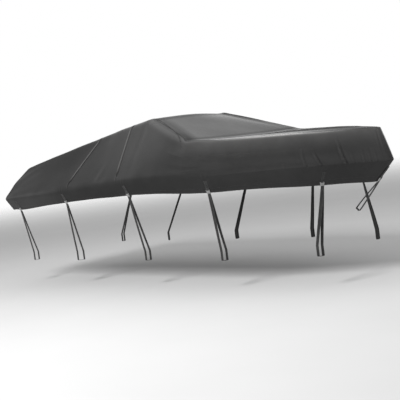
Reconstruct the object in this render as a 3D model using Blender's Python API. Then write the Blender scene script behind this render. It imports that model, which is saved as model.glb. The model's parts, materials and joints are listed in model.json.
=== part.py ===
"""A fitted boat cover with its tie-down straps, hollow and open below.

The cover is drawn as sections across its length. Each section gives four lines of the
cloth: the hem, the gunwale fold, the shoulder where the side rolls into the top, and the
crown on the centreline. The cloth is cut into sewn panels along those lines and along two
slanting welt seams, and each panel is a closed sheet of its own.

Axes: +X to the bow, +Y to port, +Z up, in metres. The tables count lengths from the stern,
widths from the centreline and heights from the ground. The origin is on the centreline,
on the underside of the cloth at the ridge.
"""
import math

import bmesh
import bpy
import numpy as np

# ---------------------------------------------------------------- driving dimensions
RIDGE_FROM_STERN = 2.915
RIDGE_HEIGHT = 2.151
CLOTH = 0.002
SEAM_GAP = 0.0004

# One row for each section, stern first. crown: how far the centreline stands above the
# shoulder. belly: how far the side swells out. roll: length of the rounded shoulder.
COLUMNS = ("fold_x", "fold_w", "fold_z", "hem_x", "hem_w", "hem_z",
           "top_x", "top_w", "top_z", "crown", "belly", "roll")
SECTIONS = (
    (0.000, 1.153, 1.323, 0.050, 1.058, 1.143, 0.120, 0.735, 1.745, 0.020, 0.042, 0.070),
    (0.350, 1.168, 1.338, 0.360, 1.078, 1.135, 0.450, 0.725, 1.802, 0.020, 0.030, 0.070),
    (1.000, 1.192, 1.361, 1.000, 1.104, 1.165, 1.000, 0.724, 1.881, 0.018, 0.018, 0.070),
    (1.650, 1.209, 1.376, 1.650, 1.120, 1.197, 1.650, 0.728, 1.971, 0.015, 0.010, 0.070),
    (2.300, 1.221, 1.388, 2.300, 1.128, 1.207, 2.300, 0.733, 2.061, 0.014, 0.006, 0.070),
    (2.750, 1.226, 1.402, 2.750, 1.130, 1.216, 2.750, 0.737, 2.118, 0.013, 0.004, 0.060),
    (2.915, 1.226, 1.408, 2.915, 1.130, 1.219, 2.915, 0.737, 2.136, 0.017, 0.003, 0.050),
    (3.050, 1.226, 1.412, 3.050, 1.129, 1.215, 3.050, 0.787, 2.092, 0.017, 0.002, 0.035),
    (3.400, 1.219, 1.412, 3.390, 1.118, 1.201, 3.420, 0.927, 1.960, 0.020, 0.004, 0.030),
    (3.800, 1.190, 1.398, 3.770, 1.080, 1.180, 3.800, 1.072, 1.824, 0.025, 0.010, 0.030),
    (3.920, 1.167, 1.390, 3.880, 1.055, 1.173, 3.920, 1.118, 1.783, 0.030, 0.014, 0.035),
    (4.300, 1.072, 1.366, 4.230, 0.955, 1.160, 4.280, 1.018, 1.768, 0.034, 0.018, 0.060),
    (4.700, 0.916, 1.357, 4.600, 0.800, 1.148, 4.660, 0.862, 1.750, 0.036, 0.018, 0.090),
    (5.100, 0.700, 1.347, 4.970, 0.600, 1.126, 5.040, 0.650, 1.729, 0.034, 0.016, 0.100),
    (5.400, 0.495, 1.333, 5.250, 0.412, 1.108, 5.320, 0.455, 1.707, 0.030, 0.014, 0.100),
    (5.650, 0.300, 1.316, 5.470, 0.240, 1.092, 5.550, 0.272, 1.688, 0.022, 0.010, 0.080),
    (5.820, 0.144, 1.305, 5.610, 0.122, 1.082, 5.710, 0.130, 1.673, 0.012, 0.006, 0.050),
    (5.900, 0.085, 1.302, 5.680, 0.068, 1.078, 5.780, 0.074, 1.666, 0.006, 0.003, 0.030),
    (5.950, 0.040, 1.300, 5.722, 0.032, 1.077, 5.826, 0.034, 1.662, 0.002, 0.001, 0.015),
    (5.968, 0.000, 1.300, 5.737, 0.000, 1.077, 5.842, 0.000, 1.661, 0.000, 0.000, 0.000),
)
NOSE_X = SECTIONS[-1][0]

# The two welt seams of each side: where each crosses the fold, and how far forward of
# that it crosses the shoulder.
WELTS = ((1.63, 0.30), (2.70, -0.07))
WELT_HEIGHT = 0.006
WELT_HALF_WIDTH = 0.018

# Pinched folds near the bow that rise from the gunwale fold: where each starts, the share
# of the side's height that it climbs, and its height on the starboard and the port side.
FOLDS = (
    (5.21, 0.50, 0.007, 0.005),
    (5.37, 0.45, 0.009, 0.011),
    (5.60, 0.80, 0.012, 0.007),
)
FOLD_HALF_WIDTH = 0.022

# Columns of the sheet besides those at tabs, welts and folds.
PLAIN_COLUMNS = (0.12, 0.45, 0.70, 0.95, 1.20, 1.85, 2.10, 2.35, 2.56, 2.99, 3.12, 3.30,
                 3.50, 3.70, 3.82, 3.92, 4.02, 4.32, 4.50, 4.68, 4.86, 5.02, 5.18, 5.30,
                 5.53, 5.65, 5.76, 5.84, 5.90, 5.94, 5.96)
LEAST_SPACING = 0.015

# Rows across one half of a section. The skirt's rows are shares of the way from the hem
# to the fold, the side's rows shares of the way from the fold to the shoulder.
SKIRT_ROWS = (0.0, 0.19, 0.68)
FOLD_ROUND = 0.018
NOSE_ROLL = 0.010
NOSE_TIP_BACK = 0.004
NOSE_FACE = 0.03
SIDE_ROWS = (0.22, 0.48, 0.74)
TOP_ROWS = (0.36, 0.70, 1.0)
HEM_RISE = 0.006
STERN_BELLY = 0.035

# Tie-downs of each side: name, distance of the tab from the stern, then the distance and
# the width at which the loop ends, and how far forward of the outer strand the inner one
# ends.
TIES = (
    ("1", 0.25, 0.16, 0.885, 0.020),
    ("2", 1.49, 1.26, 0.885, 0.060),
    ("3", 2.84, 2.73, 0.885, 0.020),
    ("4", 4.17, 4.09, 0.885, 0.020),
    ("5", 5.42, 5.27, 0.600, 0.020),
)
WEB_WIDTH = 0.038
WEB = 0.002
TAB_STANDOFF = 0.0003
# The fold runs slanting near the bow, so the last tab spans less of the cover's length.
BOW_PART = 5.0
BOW_TAB_SHARE = 0.78
BOW_TAB_LEAD = 0.0006
BUCKLE_LENGTH = 0.064
BUCKLE_WIDTH = 0.048
BUCKLE_DEPTH = 0.010
BUCKLE_STANDOFF = 0.0009
# The buckle's outline in shares of its width and length, and its height rings: share of
# its depth, and how far the outline is drawn in there.
BUCKLE_OUTLINE = ((-0.50, 0.00), (0.50, 0.00), (0.50, 0.46), (0.44, 0.52), (0.44, 1.00),
                  (-0.44, 1.00), (-0.44, 0.52), (-0.50, 0.46))
BUCKLE_RINGS = ((0.0, 0.94), (0.25, 1.0), (0.75, 1.0), (1.0, 0.90))
STRAND_SHARES = (0.25, 0.50, 0.75)
FOOT_LOW = 0.350
FOOT_HIGH = 0.470
FOOT_DEPTH = 0.060
FOOT_CORNER = 0.008
BOW_STRAP_LENGTH = 0.42
BOW_LOOP_DEPTH = 0.050

COLOURS = {
    "cloth": ((0.050, 0.050, 0.053), 0.70),
    "webbing": ((0.020, 0.020, 0.022), 0.75),
    "buckle": ((0.090, 0.090, 0.095), 0.40),
}


def clear_scene():
    for item in list(bpy.data.objects):
        bpy.data.objects.remove(item)


def material(name):
    colour, roughness = COLOURS[name]
    found = bpy.data.materials.get(name)
    if found:
        return found
    made = bpy.data.materials.new(name)
    made.use_nodes = True
    shader = made.node_tree.nodes["Principled BSDF"]
    shader.inputs["Base Color"].default_value = (*colour, 1.0)
    shader.inputs["Roughness"].default_value = roughness
    shader.inputs["Metallic"].default_value = 0.0
    return made


# ---------------------------------------------------------------- curves through tables
def smooth_slopes(knots, values):
    """Slopes of a curve that never overshoots the values it passes through."""
    step = np.diff(knots)
    rise = np.diff(values) / step
    slope = np.zeros(len(knots))
    slope[0] = rise[0]
    slope[-1] = rise[-1]
    for k in range(1, len(knots) - 1):
        if rise[k - 1] * rise[k] > 0:
            before = 2 * step[k] + step[k - 1]
            after = step[k] + 2 * step[k - 1]
            slope[k] = (before + after) / (before / rise[k - 1] + after / rise[k])
    return slope


def smooth_curve(knots, values, at):
    knots = np.asarray(knots, float)
    values = np.asarray(values, float)
    slope = smooth_slopes(knots, values)
    at = float(np.clip(at, knots[0], knots[-1]))
    k = int(np.clip(np.searchsorted(knots, at) - 1, 0, len(knots) - 2))
    step = knots[k + 1] - knots[k]
    t = (at - knots[k]) / step
    keep = (1 + 2 * t) * (1 - t) ** 2 * values[k] + t * (1 - t) ** 2 * step * slope[k]
    reach = t * t * (3 - 2 * t) * values[k + 1] - t * t * (1 - t) * step * slope[k + 1]
    return keep + reach


TABLE = {name: [row[k] for row in SECTIONS] for k, name in enumerate(COLUMNS)}
PLACES = list(range(len(SECTIONS)))


def read(name, place):
    """Value of one table column at a place counted in sections, such as 3.5."""
    return smooth_curve(PLACES, TABLE[name], place)


FINE_PLACES = np.linspace(0, len(SECTIONS) - 1, 1901)
FINE_FOLD_X = np.array([read("fold_x", p) for p in FINE_PLACES])


def place_of(distance):
    """The place whose fold lies at a distance from the stern."""
    return float(np.interp(distance, FINE_FOLD_X, FINE_PLACES))


def unit(vector):
    vector = np.asarray(vector, float)
    return vector / np.linalg.norm(vector)


def from_stern(x, y, z):
    return np.array([x - RIDGE_FROM_STERN, y, z - RIDGE_HEIGHT])


# ---------------------------------------------------------------- the shape of the cloth
def lean(distance):
    """How far forward a column of the side leans between the fold and the shoulder."""
    knots = [0.0, 0.7] + [welt[0] for welt in WELTS] + [3.2, NOSE_X]
    values = [0.0, 0.12] + [welt[1] for welt in WELTS] + [0.0, 0.0]
    return smooth_curve(knots, values, distance)


def lines_at(distance, share):
    """Hem, fold, shoulder and crown of the section that a column crosses at a share of
    its way from the fold to the shoulder, on the starboard side."""
    place = place_of(min(distance + lean(distance) * share, NOSE_X))
    value = {name: read(name, place) for name in COLUMNS}
    hem = np.array([value["hem_x"], -value["hem_w"], value["hem_z"]])
    fold = np.array([value["fold_x"], -value["fold_w"], value["fold_z"]])
    shoulder = np.array([value["top_x"], -value["top_w"], value["top_z"]])
    crown = np.array([value["top_x"], 0.0, value["top_z"] + value["crown"]])
    return hem, fold, shoulder, crown, value


def hem_rise(distance):
    """Between two tabs the hem stands a little higher than at the tabs."""
    spots = [0.0] + [tie[1] for tie in TIES] + [NOSE_X]
    for low, high in zip(spots, spots[1:]):
        if low <= distance <= high:
            return HEM_RISE * math.sin(math.pi * (distance - low) / (high - low)) ** 2
    return 0.0


def ridge_rise(distance, share, side):
    """How far a welt or a pinched fold lifts a point of the side, fading at its ends."""
    for at, _ in WELTS:
        if abs(distance - at) < 1e-6:
            fade = min(1.0, share / 0.12) * min(1.0, (1.0 - share) / 0.10)
            return WELT_HEIGHT * max(0.0, fade)
    for at, climb, *heights in FOLDS:
        if abs(distance - at) < 1e-6:
            return heights[side] * max(0.0, 1.0 - (share / climb) ** 2)
    return 0.0


def bend(before, corner, after, reach_before, reach_after):
    """Start, middle and end of a rounded corner."""
    start = corner + unit(before - corner) * reach_before
    end = corner + unit(after - corner) * reach_after
    return start, 0.25 * start + 0.5 * corner + 0.25 * end, end


def half_column(distance, side):
    """Points of one column of one half, from the hem to the centreline, drawn as if on
    the starboard side. side is 0 for starboard and 1 for port."""
    hem, fold, shoulder, _, _ = lines_at(distance, 0.0)
    hem = hem + np.array([0.0, 0.0, hem_rise(distance)])
    points = [hem + (fold - hem) * share for share in SKIRT_ROWS]
    reach = min(FOLD_ROUND, 0.2 * np.linalg.norm(shoulder - fold))
    points += bend(hem, fold, shoulder, reach, reach)
    for share in SIDE_ROWS:
        _, low, high, _, value = lines_at(distance, share)
        run = high - low
        out = unit(np.cross(run, np.array([1.0, 0.0, 0.0])))
        if out[1] > 0:
            out = -out
        if distance > NOSE_X - NOSE_FACE:
            out = np.array([1.0, 0.0, 0.0])
        swell = value["belly"] * 4 * share * (1 - share)
        swell += ridge_rise(distance, share, side)
        points.append(low + run * share + out * swell)
    _, low, high, crown, value = lines_at(distance, 1.0)
    half = abs(high[1])
    if half < 1e-6:
        start = high + unit(low - high) * NOSE_ROLL
        return points + [start, 0.5 * (start + high), high] + [crown] * len(TOP_ROWS)
    roll = min(value["roll"], 0.45 * half)
    edge = np.array([high[0], high[1] + roll, 0.0])
    edge[2] = high[2] + value["crown"] * (1 - (edge[1] / half) ** 2)
    start, middle, end = bend(low, high, edge, roll, roll)
    points += [start, middle, end]
    for share in TOP_ROWS:
        y = end[1] * (1 - share)
        rise = value["crown"] * (1 - (y / half) ** 2)
        points.append(np.array([high[0], y, high[2] + rise]))
    return points


SEAM_ROW = len(SKIRT_ROWS) + 3 + len(SIDE_ROWS) + 2
CENTRE_ROW = SEAM_ROW + len(TOP_ROWS)
LAST_ROW = 2 * CENTRE_ROW


def column_places():
    """Distances of all columns from the stern: a plain spacing, the edges of every tab
    and the crest and flanks of every welt and fold."""
    wanted = {0.0, NOSE_X}
    for at, _ in WELTS:
        wanted |= {at - WELT_HALF_WIDTH, at, at + WELT_HALF_WIDTH}
    for fold in FOLDS:
        wanted |= {fold[0] - FOLD_HALF_WIDTH, fold[0], fold[0] + FOLD_HALF_WIDTH}
    for tie in TIES:
        half = 0.5 * WEB_WIDTH * (1.0 if tie[1] < BOW_PART else BOW_TAB_SHARE)
        wanted |= {tie[1] - half, tie[1] + half}
    for x in PLAIN_COLUMNS:
        if min(abs(x - other) for other in wanted) > LEAST_SPACING:
            wanted.add(x)
    return sorted(wanted)


def shell_grid(places):
    """All columns round the whole girth, starboard hem first, with their normals."""
    grid = []
    for distance in places:
        port = [point * np.array([1.0, -1.0, 1.0]) for point in half_column(distance, 1)]
        grid.append(half_column(distance, 0) + port[-2::-1])
    grid = np.array(grid)
    along = np.gradient(grid, axis=0)
    across = np.gradient(grid, axis=1)
    normal = np.cross(along, across)
    nose = grid[-1]
    for j in range(LAST_ROW + 1):
        row = min(j, LAST_ROW - j, SEAM_ROW)
        run = nose[min(row + 1, SEAM_ROW)] - nose[max(row - 1, 0)]
        normal[-1][j] = (run[2], 0.0, -run[0])
    length = np.linalg.norm(normal, axis=2, keepdims=True)
    return grid, normal / np.maximum(length, 1e-9)


def stern_grid(grid):
    """The stern panel between the two ends of the sides, under the end of the top."""
    rows = SEAM_ROW + 1
    top = grid[0][SEAM_ROW:LAST_ROW - SEAM_ROW + 1]
    shares = top[:, 1] / top[-1][1]
    made = np.zeros((len(shares), rows, 3))
    for k, share in enumerate(shares):
        for j in range(rows):
            edge = grid[0][j]
            level = j / SEAM_ROW
            out = STERN_BELLY * (1 - share ** 2) * math.sin(math.pi * (0.15 + 0.75 * level))
            rise = (top[k][2] - top[0][2]) * level ** 3
            made[k][j] = (edge[0] - out * (1 - level ** 6), -edge[1] * share, edge[2] + rise)
        made[k][rows - 1] = top[k]
    along = np.gradient(made, axis=0)
    across = np.gradient(made, axis=1)
    normal = np.cross(across, along)
    return made, normal / np.linalg.norm(normal, axis=2, keepdims=True)


def draw_in(outer, inner, border):
    """Draw one border of a panel in by half the seam's gap."""
    lines = {"first": (0, 1), "last": (-1, -2)}
    axis, end = border
    edge, beside = lines[end]
    for sheet in (outer, inner):
        view = sheet if axis == "column" else sheet.swapaxes(0, 1)
        step = view[beside] - view[edge]
        length = np.linalg.norm(step, axis=1, keepdims=True)
        view[edge] = view[edge] + step / np.maximum(length, 1e-9) * SEAM_GAP / 2


def sheet_object(name, outer, inner, colour):
    """A closed sheet from the points of its two faces. Both faces are cut into triangles
    along the same diagonals, so that the sheet is equally thick all over."""
    columns, rows = outer.shape[:2]
    mesh = bmesh.new()

    def add(points):
        return [[mesh.verts.new(from_stern(*points[i][j])) for j in range(rows)]
                for i in range(columns)]

    face = add(outer)
    back = add(inner)
    for i in range(columns - 1):
        for j in range(rows - 1):
            cell = ((i, j), (i + 1, j), (i + 1, j + 1), (i, j + 1))
            if (np.linalg.norm(outer[cell[0]] - outer[cell[2]])
                    > np.linalg.norm(outer[cell[1]] - outer[cell[3]])):
                cell = cell[1:] + cell[:1]
            for k, m, n in (cell[:3], (cell[0], cell[2], cell[3])):
                mesh.faces.new((face[k[0]][k[1]], face[m[0]][m[1]], face[n[0]][n[1]]))
                mesh.faces.new((back[n[0]][n[1]], back[m[0]][m[1]], back[k[0]][k[1]]))
    rim = [(i, 0) for i in range(columns)]
    rim += [(columns - 1, j) for j in range(1, rows)]
    rim += [(i, rows - 1) for i in range(columns - 2, -1, -1)]
    rim += [(0, j) for j in range(rows - 2, 0, -1)]
    for (i, j), (m, n) in zip(rim, rim[1:] + rim[:1]):
        mesh.faces.new((face[i][j], back[i][j], back[m][n], face[m][n]))
    return finish(name, mesh, colour)


def finish(name, mesh, colour):
    bmesh.ops.remove_doubles(mesh, verts=mesh.verts, dist=1e-5)
    bmesh.ops.dissolve_degenerate(mesh, edges=mesh.edges, dist=1e-6)
    bmesh.ops.recalc_face_normals(mesh, faces=mesh.faces)
    data = bpy.data.meshes.new(name)
    mesh.to_mesh(data)
    mesh.free()
    made = bpy.data.objects.new(name, data)
    bpy.context.collection.objects.link(made)
    data.materials.append(material(colour))
    return made


# ---------------------------------------------------------------- panels
def add_side_panels(places, grid, normal):
    cuts = [0.0] + [welt[0] for welt in WELTS] + [NOSE_X]
    sides = (("starboard", slice(0, SEAM_ROW + 1), "last"),
             ("port", slice(LAST_ROW - SEAM_ROW, LAST_ROW + 1), "first"))
    for name, low, high in zip(("aft", "mid", "fore"), cuts, cuts[1:]):
        first = int(np.argmin(np.abs(np.array(places) - low)))
        last = int(np.argmin(np.abs(np.array(places) - high)))
        for side, rows, seam in sides:
            outer = grid[first:last + 1, rows].copy()
            inner = outer - CLOTH * normal[first:last + 1, rows]
            for border in (("column", "first"), ("column", "last"), ("row", seam)):
                draw_in(outer, inner, border)
            sheet_object(f"side_{name}_{side}", outer, inner, "cloth")


def add_top_panel(grid, normal):
    rows = slice(SEAM_ROW, LAST_ROW - SEAM_ROW + 1)
    outer = grid[:, rows].copy()
    inner = outer - CLOTH * normal[:, rows]
    draw_in(outer, inner, ("row", "first"))
    draw_in(outer, inner, ("row", "last"))
    draw_in(outer, inner, ("column", "first"))
    tip = outer[-1][len(TOP_ROWS)] - np.array([NOSE_TIP_BACK, 0.0, 0.0])
    outer[-1] = tip
    inner[-1] = tip - np.array([0.0, 0.0, CLOTH])
    sheet_object("top_panel", outer, inner, "cloth")


def add_stern_panel(stern, stern_normal):
    outer = stern.copy()
    inner = outer - CLOTH * stern_normal
    for border in (("column", "first"), ("column", "last"), ("row", "last")):
        draw_in(outer, inner, border)
    sheet_object("stern_panel", outer, inner, "cloth")


def share_corner(grid_normal, stern_normal):
    """Where the stern panel meets the sides and the top, both take one normal."""
    for j in range(SEAM_ROW + 1):
        both = unit(grid_normal[0][j] + stern_normal[0][j])
        grid_normal[0][j] = both
        stern_normal[0][j] = both
        other = both * np.array([1.0, -1.0, 1.0])
        grid_normal[0][LAST_ROW - j] = other
        stern_normal[-1][j] = other
    for k in range(len(stern_normal)):
        both = unit(grid_normal[0][SEAM_ROW + k] + stern_normal[k][SEAM_ROW])
        grid_normal[0][SEAM_ROW + k] = both
        stern_normal[k][SEAM_ROW] = both


# ---------------------------------------------------------------- tie-downs
def tab_frame(low_left, low_right, high_left, high_right):
    """Middle of a tab's lower edge, with the directions along it, down it and out."""
    middle = 0.5 * (low_left + low_right)
    wide = unit(low_right - low_left)
    down = unit(middle - 0.5 * (high_left + high_right))
    out = unit(np.cross(down, wide))
    down = np.cross(wide, out)
    return middle, wide, down, out


def add_tab(name, corners, normals):
    inner = corners + normals * TAB_STANDOFF
    outer = corners + normals * (TAB_STANDOFF + WEB)
    sheet_object(name, outer, inner, "webbing")


def add_buckle(name, middle, wide, down, out):
    """A flat side-release buckle: a body, narrower at the latch, with bevelled rims."""
    mesh = bmesh.new()
    rings = []
    for rise, inset in BUCKLE_RINGS:
        ring = []
        for across, along in BUCKLE_OUTLINE:
            reach = SEAM_GAP + (0.5 + (along - 0.5) * inset) * BUCKLE_LENGTH
            point = middle + wide * across * BUCKLE_WIDTH * inset + down * reach
            point = point + out * (BUCKLE_STANDOFF + rise * BUCKLE_DEPTH)
            ring.append(mesh.verts.new(from_stern(*point)))
        rings.append(ring)
    count = len(BUCKLE_OUTLINE)
    for low, high in zip(rings, rings[1:]):
        for k in range(count):
            mesh.faces.new((low[k], low[(k + 1) % count], high[(k + 1) % count], high[k]))
    mesh.faces.new(rings[0])
    mesh.faces.new(rings[-1])
    bmesh.ops.triangulate(mesh, faces=[f for f in mesh.faces if len(f.verts) > 4])
    finish(name, mesh, "buckle")
    axis = BUCKLE_STANDOFF + BUCKLE_DEPTH / 2
    return middle + down * (SEAM_GAP + BUCKLE_LENGTH) + out * axis


def rounded_foot(high_out, low_out, low_in, high_in):
    """Path round the foot of a loop, with its two lower corners rounded."""
    path = [high_out]
    for before, corner, after in ((high_out, low_out, low_in), (low_out, low_in, high_in)):
        path += bend(before, corner, after, FOOT_CORNER, FOOT_CORNER)
    return path + [high_in]


def add_strap(name, start, wide, down, out, foot, foot_wide):
    """A closed loop of webbing: round the buckle's bar, down to its foot and back."""
    top = start + down * (SEAM_GAP + WEB / 2)
    spread = BUCKLE_DEPTH / 2 - WEB
    outer_top = top + down * spread + out * spread
    inner_top = top + down * spread - out * spread
    path = [top, outer_top + (top - outer_top) * 0.3 + out * 0.3 * spread, outer_top]
    widths = [wide, wide, wide]
    for share in STRAND_SHARES:
        path.append(outer_top + (foot[0] - outer_top) * share)
        widths.append(unit(wide * (1 - share) + foot_wide * share))
    path += foot
    widths += [foot_wide] * len(foot)
    for share in STRAND_SHARES[::-1]:
        path.append(inner_top + (foot[-1] - inner_top) * share)
        widths.append(unit(wide * (1 - share) + foot_wide * share))
    path += [inner_top, inner_top + (top - inner_top) * 0.3 - out * 0.3 * spread]
    widths += [wide, wide]
    count = len(path)
    mesh = bmesh.new()
    rings = []
    for k in range(count):
        run = unit(path[(k + 1) % count] - path[k - 1])
        across = widths[k]
        thick = unit(np.cross(run, across))
        ring = []
        for a, b in ((-1, -1), (1, -1), (1, 1), (-1, 1)):
            point = path[k] + across * a * WEB_WIDTH / 2 + thick * b * WEB / 2
            ring.append(mesh.verts.new(from_stern(*point)))
        rings.append(ring)
    for k in range(count):
        low, high = rings[k], rings[(k + 1) % count]
        mesh.faces.new((low[0], high[0], high[1]))
        mesh.faces.new((low[0], high[1], low[1]))
        mesh.faces.new((low[1], high[1], high[2], low[2]))
        mesh.faces.new((low[2], high[2], low[3]))
        mesh.faces.new((high[2], high[3], low[3]))
        mesh.faces.new((low[3], high[3], high[0], low[0]))
    finish(name, mesh, "webbing")


def add_side_ties(places, grid, normal):
    places = np.array(places)
    low_row, high_row = 1, 2
    for tie in TIES:
        label, at, foot_x, foot_w, splay = tie
        first = int(np.searchsorted(places, at)) - 1
        cells = np.ix_((first, first + 1), (low_row, high_row))
        corners, normals = grid[cells], normal[cells]
        for side, sign in (("starboard", 1.0), ("port", -1.0)):
            flip = np.array([1.0, sign, 1.0])
            spots, facing = corners * flip, normals * flip
            if sign < 0:
                spots, facing = spots[::-1], facing[::-1]
            add_tab(f"tab_{side}_{label}", spots, facing)
            frame = tab_frame(spots[0][0], spots[1][0], spots[0][1], spots[1][1])
            end = add_buckle(f"buckle_{side}_{label}", *frame)
            wide, down, out = frame[1:]
            outer_y = -sign * (foot_w + WEB / 2)
            inner_y = -sign * (foot_w - FOOT_DEPTH - WEB / 2)
            low = FOOT_LOW - WEB / 2
            back_x = foot_x + splay
            foot = rounded_foot(np.array([foot_x, outer_y, FOOT_HIGH]),
                                np.array([foot_x, outer_y, low]),
                                np.array([back_x, inner_y, low]),
                                np.array([back_x, inner_y, FOOT_HIGH]))
            add_strap(f"strap_{side}_{label}", end, wide, down, out, foot,
                      np.array([sign, 0.0, 0.0]))


def add_bow_tie(grid):
    """The bow's tie-down hangs from the foot of the nose and runs back and down."""
    hem, low, high = grid[-1][0], grid[-1][1], grid[-1][2]
    wide = np.array([0.0, 1.0, 0.0])
    down = unit(hem - low)
    out = unit(np.cross(down, wide))
    half = wide * WEB_WIDTH / 2
    ahead = out * BOW_TAB_LEAD
    corners = np.array([[low - half + ahead, high - half + ahead],
                        [low + half + ahead, high + half + ahead]])
    add_tab("tab_bow", corners, np.broadcast_to(out, corners.shape))
    end = add_buckle("buckle_bow", low + ahead, wide, down, out)
    reach = down * (BOW_STRAP_LENGTH - FOOT_DEPTH)
    spread = out * BOW_LOOP_DEPTH / 2
    foot = rounded_foot(end + reach + spread, end + down * BOW_STRAP_LENGTH + spread,
                        end + down * BOW_STRAP_LENGTH - spread, end + reach - spread)
    add_strap("strap_bow", end, wide, down, out, foot, wide)


def build():
    clear_scene()
    places = column_places()
    grid, normal = shell_grid(places)
    stern, stern_normal = stern_grid(grid)
    share_corner(normal, stern_normal)
    add_side_panels(places, grid, normal)
    add_top_panel(grid, normal)
    add_stern_panel(stern, stern_normal)
    add_side_ties(places, grid, normal)
    add_bow_tie(grid)


build()
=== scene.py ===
# %% [markdown]
# # A fitted boat cover
# The real thing is about twenty square metres of canvas, cut into panels, sewn together and
# pulled tight by webbing straps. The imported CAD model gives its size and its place. This
# file gives it cloth, seams, folds, stitches, webbing and buckles.
# Everything is in metres. +X points to the bow, +Y to port and +Z up, and the origin lies
# under the ridge, the cover's highest line.

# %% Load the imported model
import json
import math

import bmesh
import bpy
import numpy as np
from mathutils import Matrix, Vector

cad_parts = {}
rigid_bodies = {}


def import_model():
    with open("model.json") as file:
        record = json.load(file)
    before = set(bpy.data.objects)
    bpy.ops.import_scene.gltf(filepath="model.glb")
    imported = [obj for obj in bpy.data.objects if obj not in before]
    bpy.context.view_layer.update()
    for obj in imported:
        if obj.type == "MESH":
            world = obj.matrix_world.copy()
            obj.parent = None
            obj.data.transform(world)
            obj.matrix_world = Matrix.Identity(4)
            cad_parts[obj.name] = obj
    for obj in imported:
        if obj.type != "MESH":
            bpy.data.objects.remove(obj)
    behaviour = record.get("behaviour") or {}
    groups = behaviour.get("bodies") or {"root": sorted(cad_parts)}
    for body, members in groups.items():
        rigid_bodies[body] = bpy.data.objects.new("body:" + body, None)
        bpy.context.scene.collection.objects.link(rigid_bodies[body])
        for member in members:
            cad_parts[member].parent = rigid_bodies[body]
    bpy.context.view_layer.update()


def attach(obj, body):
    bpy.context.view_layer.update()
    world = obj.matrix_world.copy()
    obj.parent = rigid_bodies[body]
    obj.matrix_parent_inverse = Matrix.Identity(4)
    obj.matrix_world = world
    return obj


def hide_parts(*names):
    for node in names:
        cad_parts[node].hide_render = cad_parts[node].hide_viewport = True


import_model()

# %% [markdown]
# ## The camera
# A camera could be placed by eye, but then nothing in the picture can be measured. This one
# comes from the perspective of the object: a long lens, low beside the bow, that looks a
# little down and is tilted a few degrees. The angles become three axes, and the axes become
# the camera's matrix.

# %% Place the camera
def in_scene(name, data):
    """A new object with this data, linked into the scene."""
    made = bpy.data.objects.new(name, data)
    bpy.context.collection.objects.link(made)
    return made


PICTURE_WIDTH = 400
FOCAL_PIXELS = 812.6
SENSOR_WIDTH = 36.0
CAMERA_PLACE = Vector((7.776, -7.640, -0.525))
HEADING, DOWN, TILT = (math.radians(angle) for angle in (44.609, 3.248, 7.297))

ahead = Vector((-math.cos(HEADING) * math.cos(DOWN), math.sin(HEADING) * math.cos(DOWN),
                -math.sin(DOWN)))
level_right = Vector((math.sin(HEADING), math.cos(HEADING), 0.0))
level_up = level_right.cross(ahead)
right = level_right * math.cos(TILT) - level_up * math.sin(TILT)
up = level_right * math.sin(TILT) + level_up * math.cos(TILT)

camera = in_scene("camera", bpy.data.cameras.new("camera"))
camera.data.sensor_width = SENSOR_WIDTH
camera.data.lens = FOCAL_PIXELS * SENSOR_WIDTH / PICTURE_WIDTH
camera.matrix_world = (Matrix.Translation(CAMERA_PLACE)
                       @ Matrix((right, up, -ahead)).transposed().to_4x4())
bpy.context.scene.camera = camera
print(f"lens {camera.data.lens:.1f} mm")

# %% [markdown]
# ## The measurements
# A cover like this is drawn as sections across its length. Each row below gives three lines
# of the cloth: the gunwale fold, the hem, and the shoulder where the side rolls into the top.
# Its last two values are the crown, by which the top's middle stands over the shoulders, and
# the belly, by which the side swells. Lengths count from the stern, widths from the
# centreline and heights from the ground. They are the values of the CAD source, because a
# dressed piece has to lie where the solid is.

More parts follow.
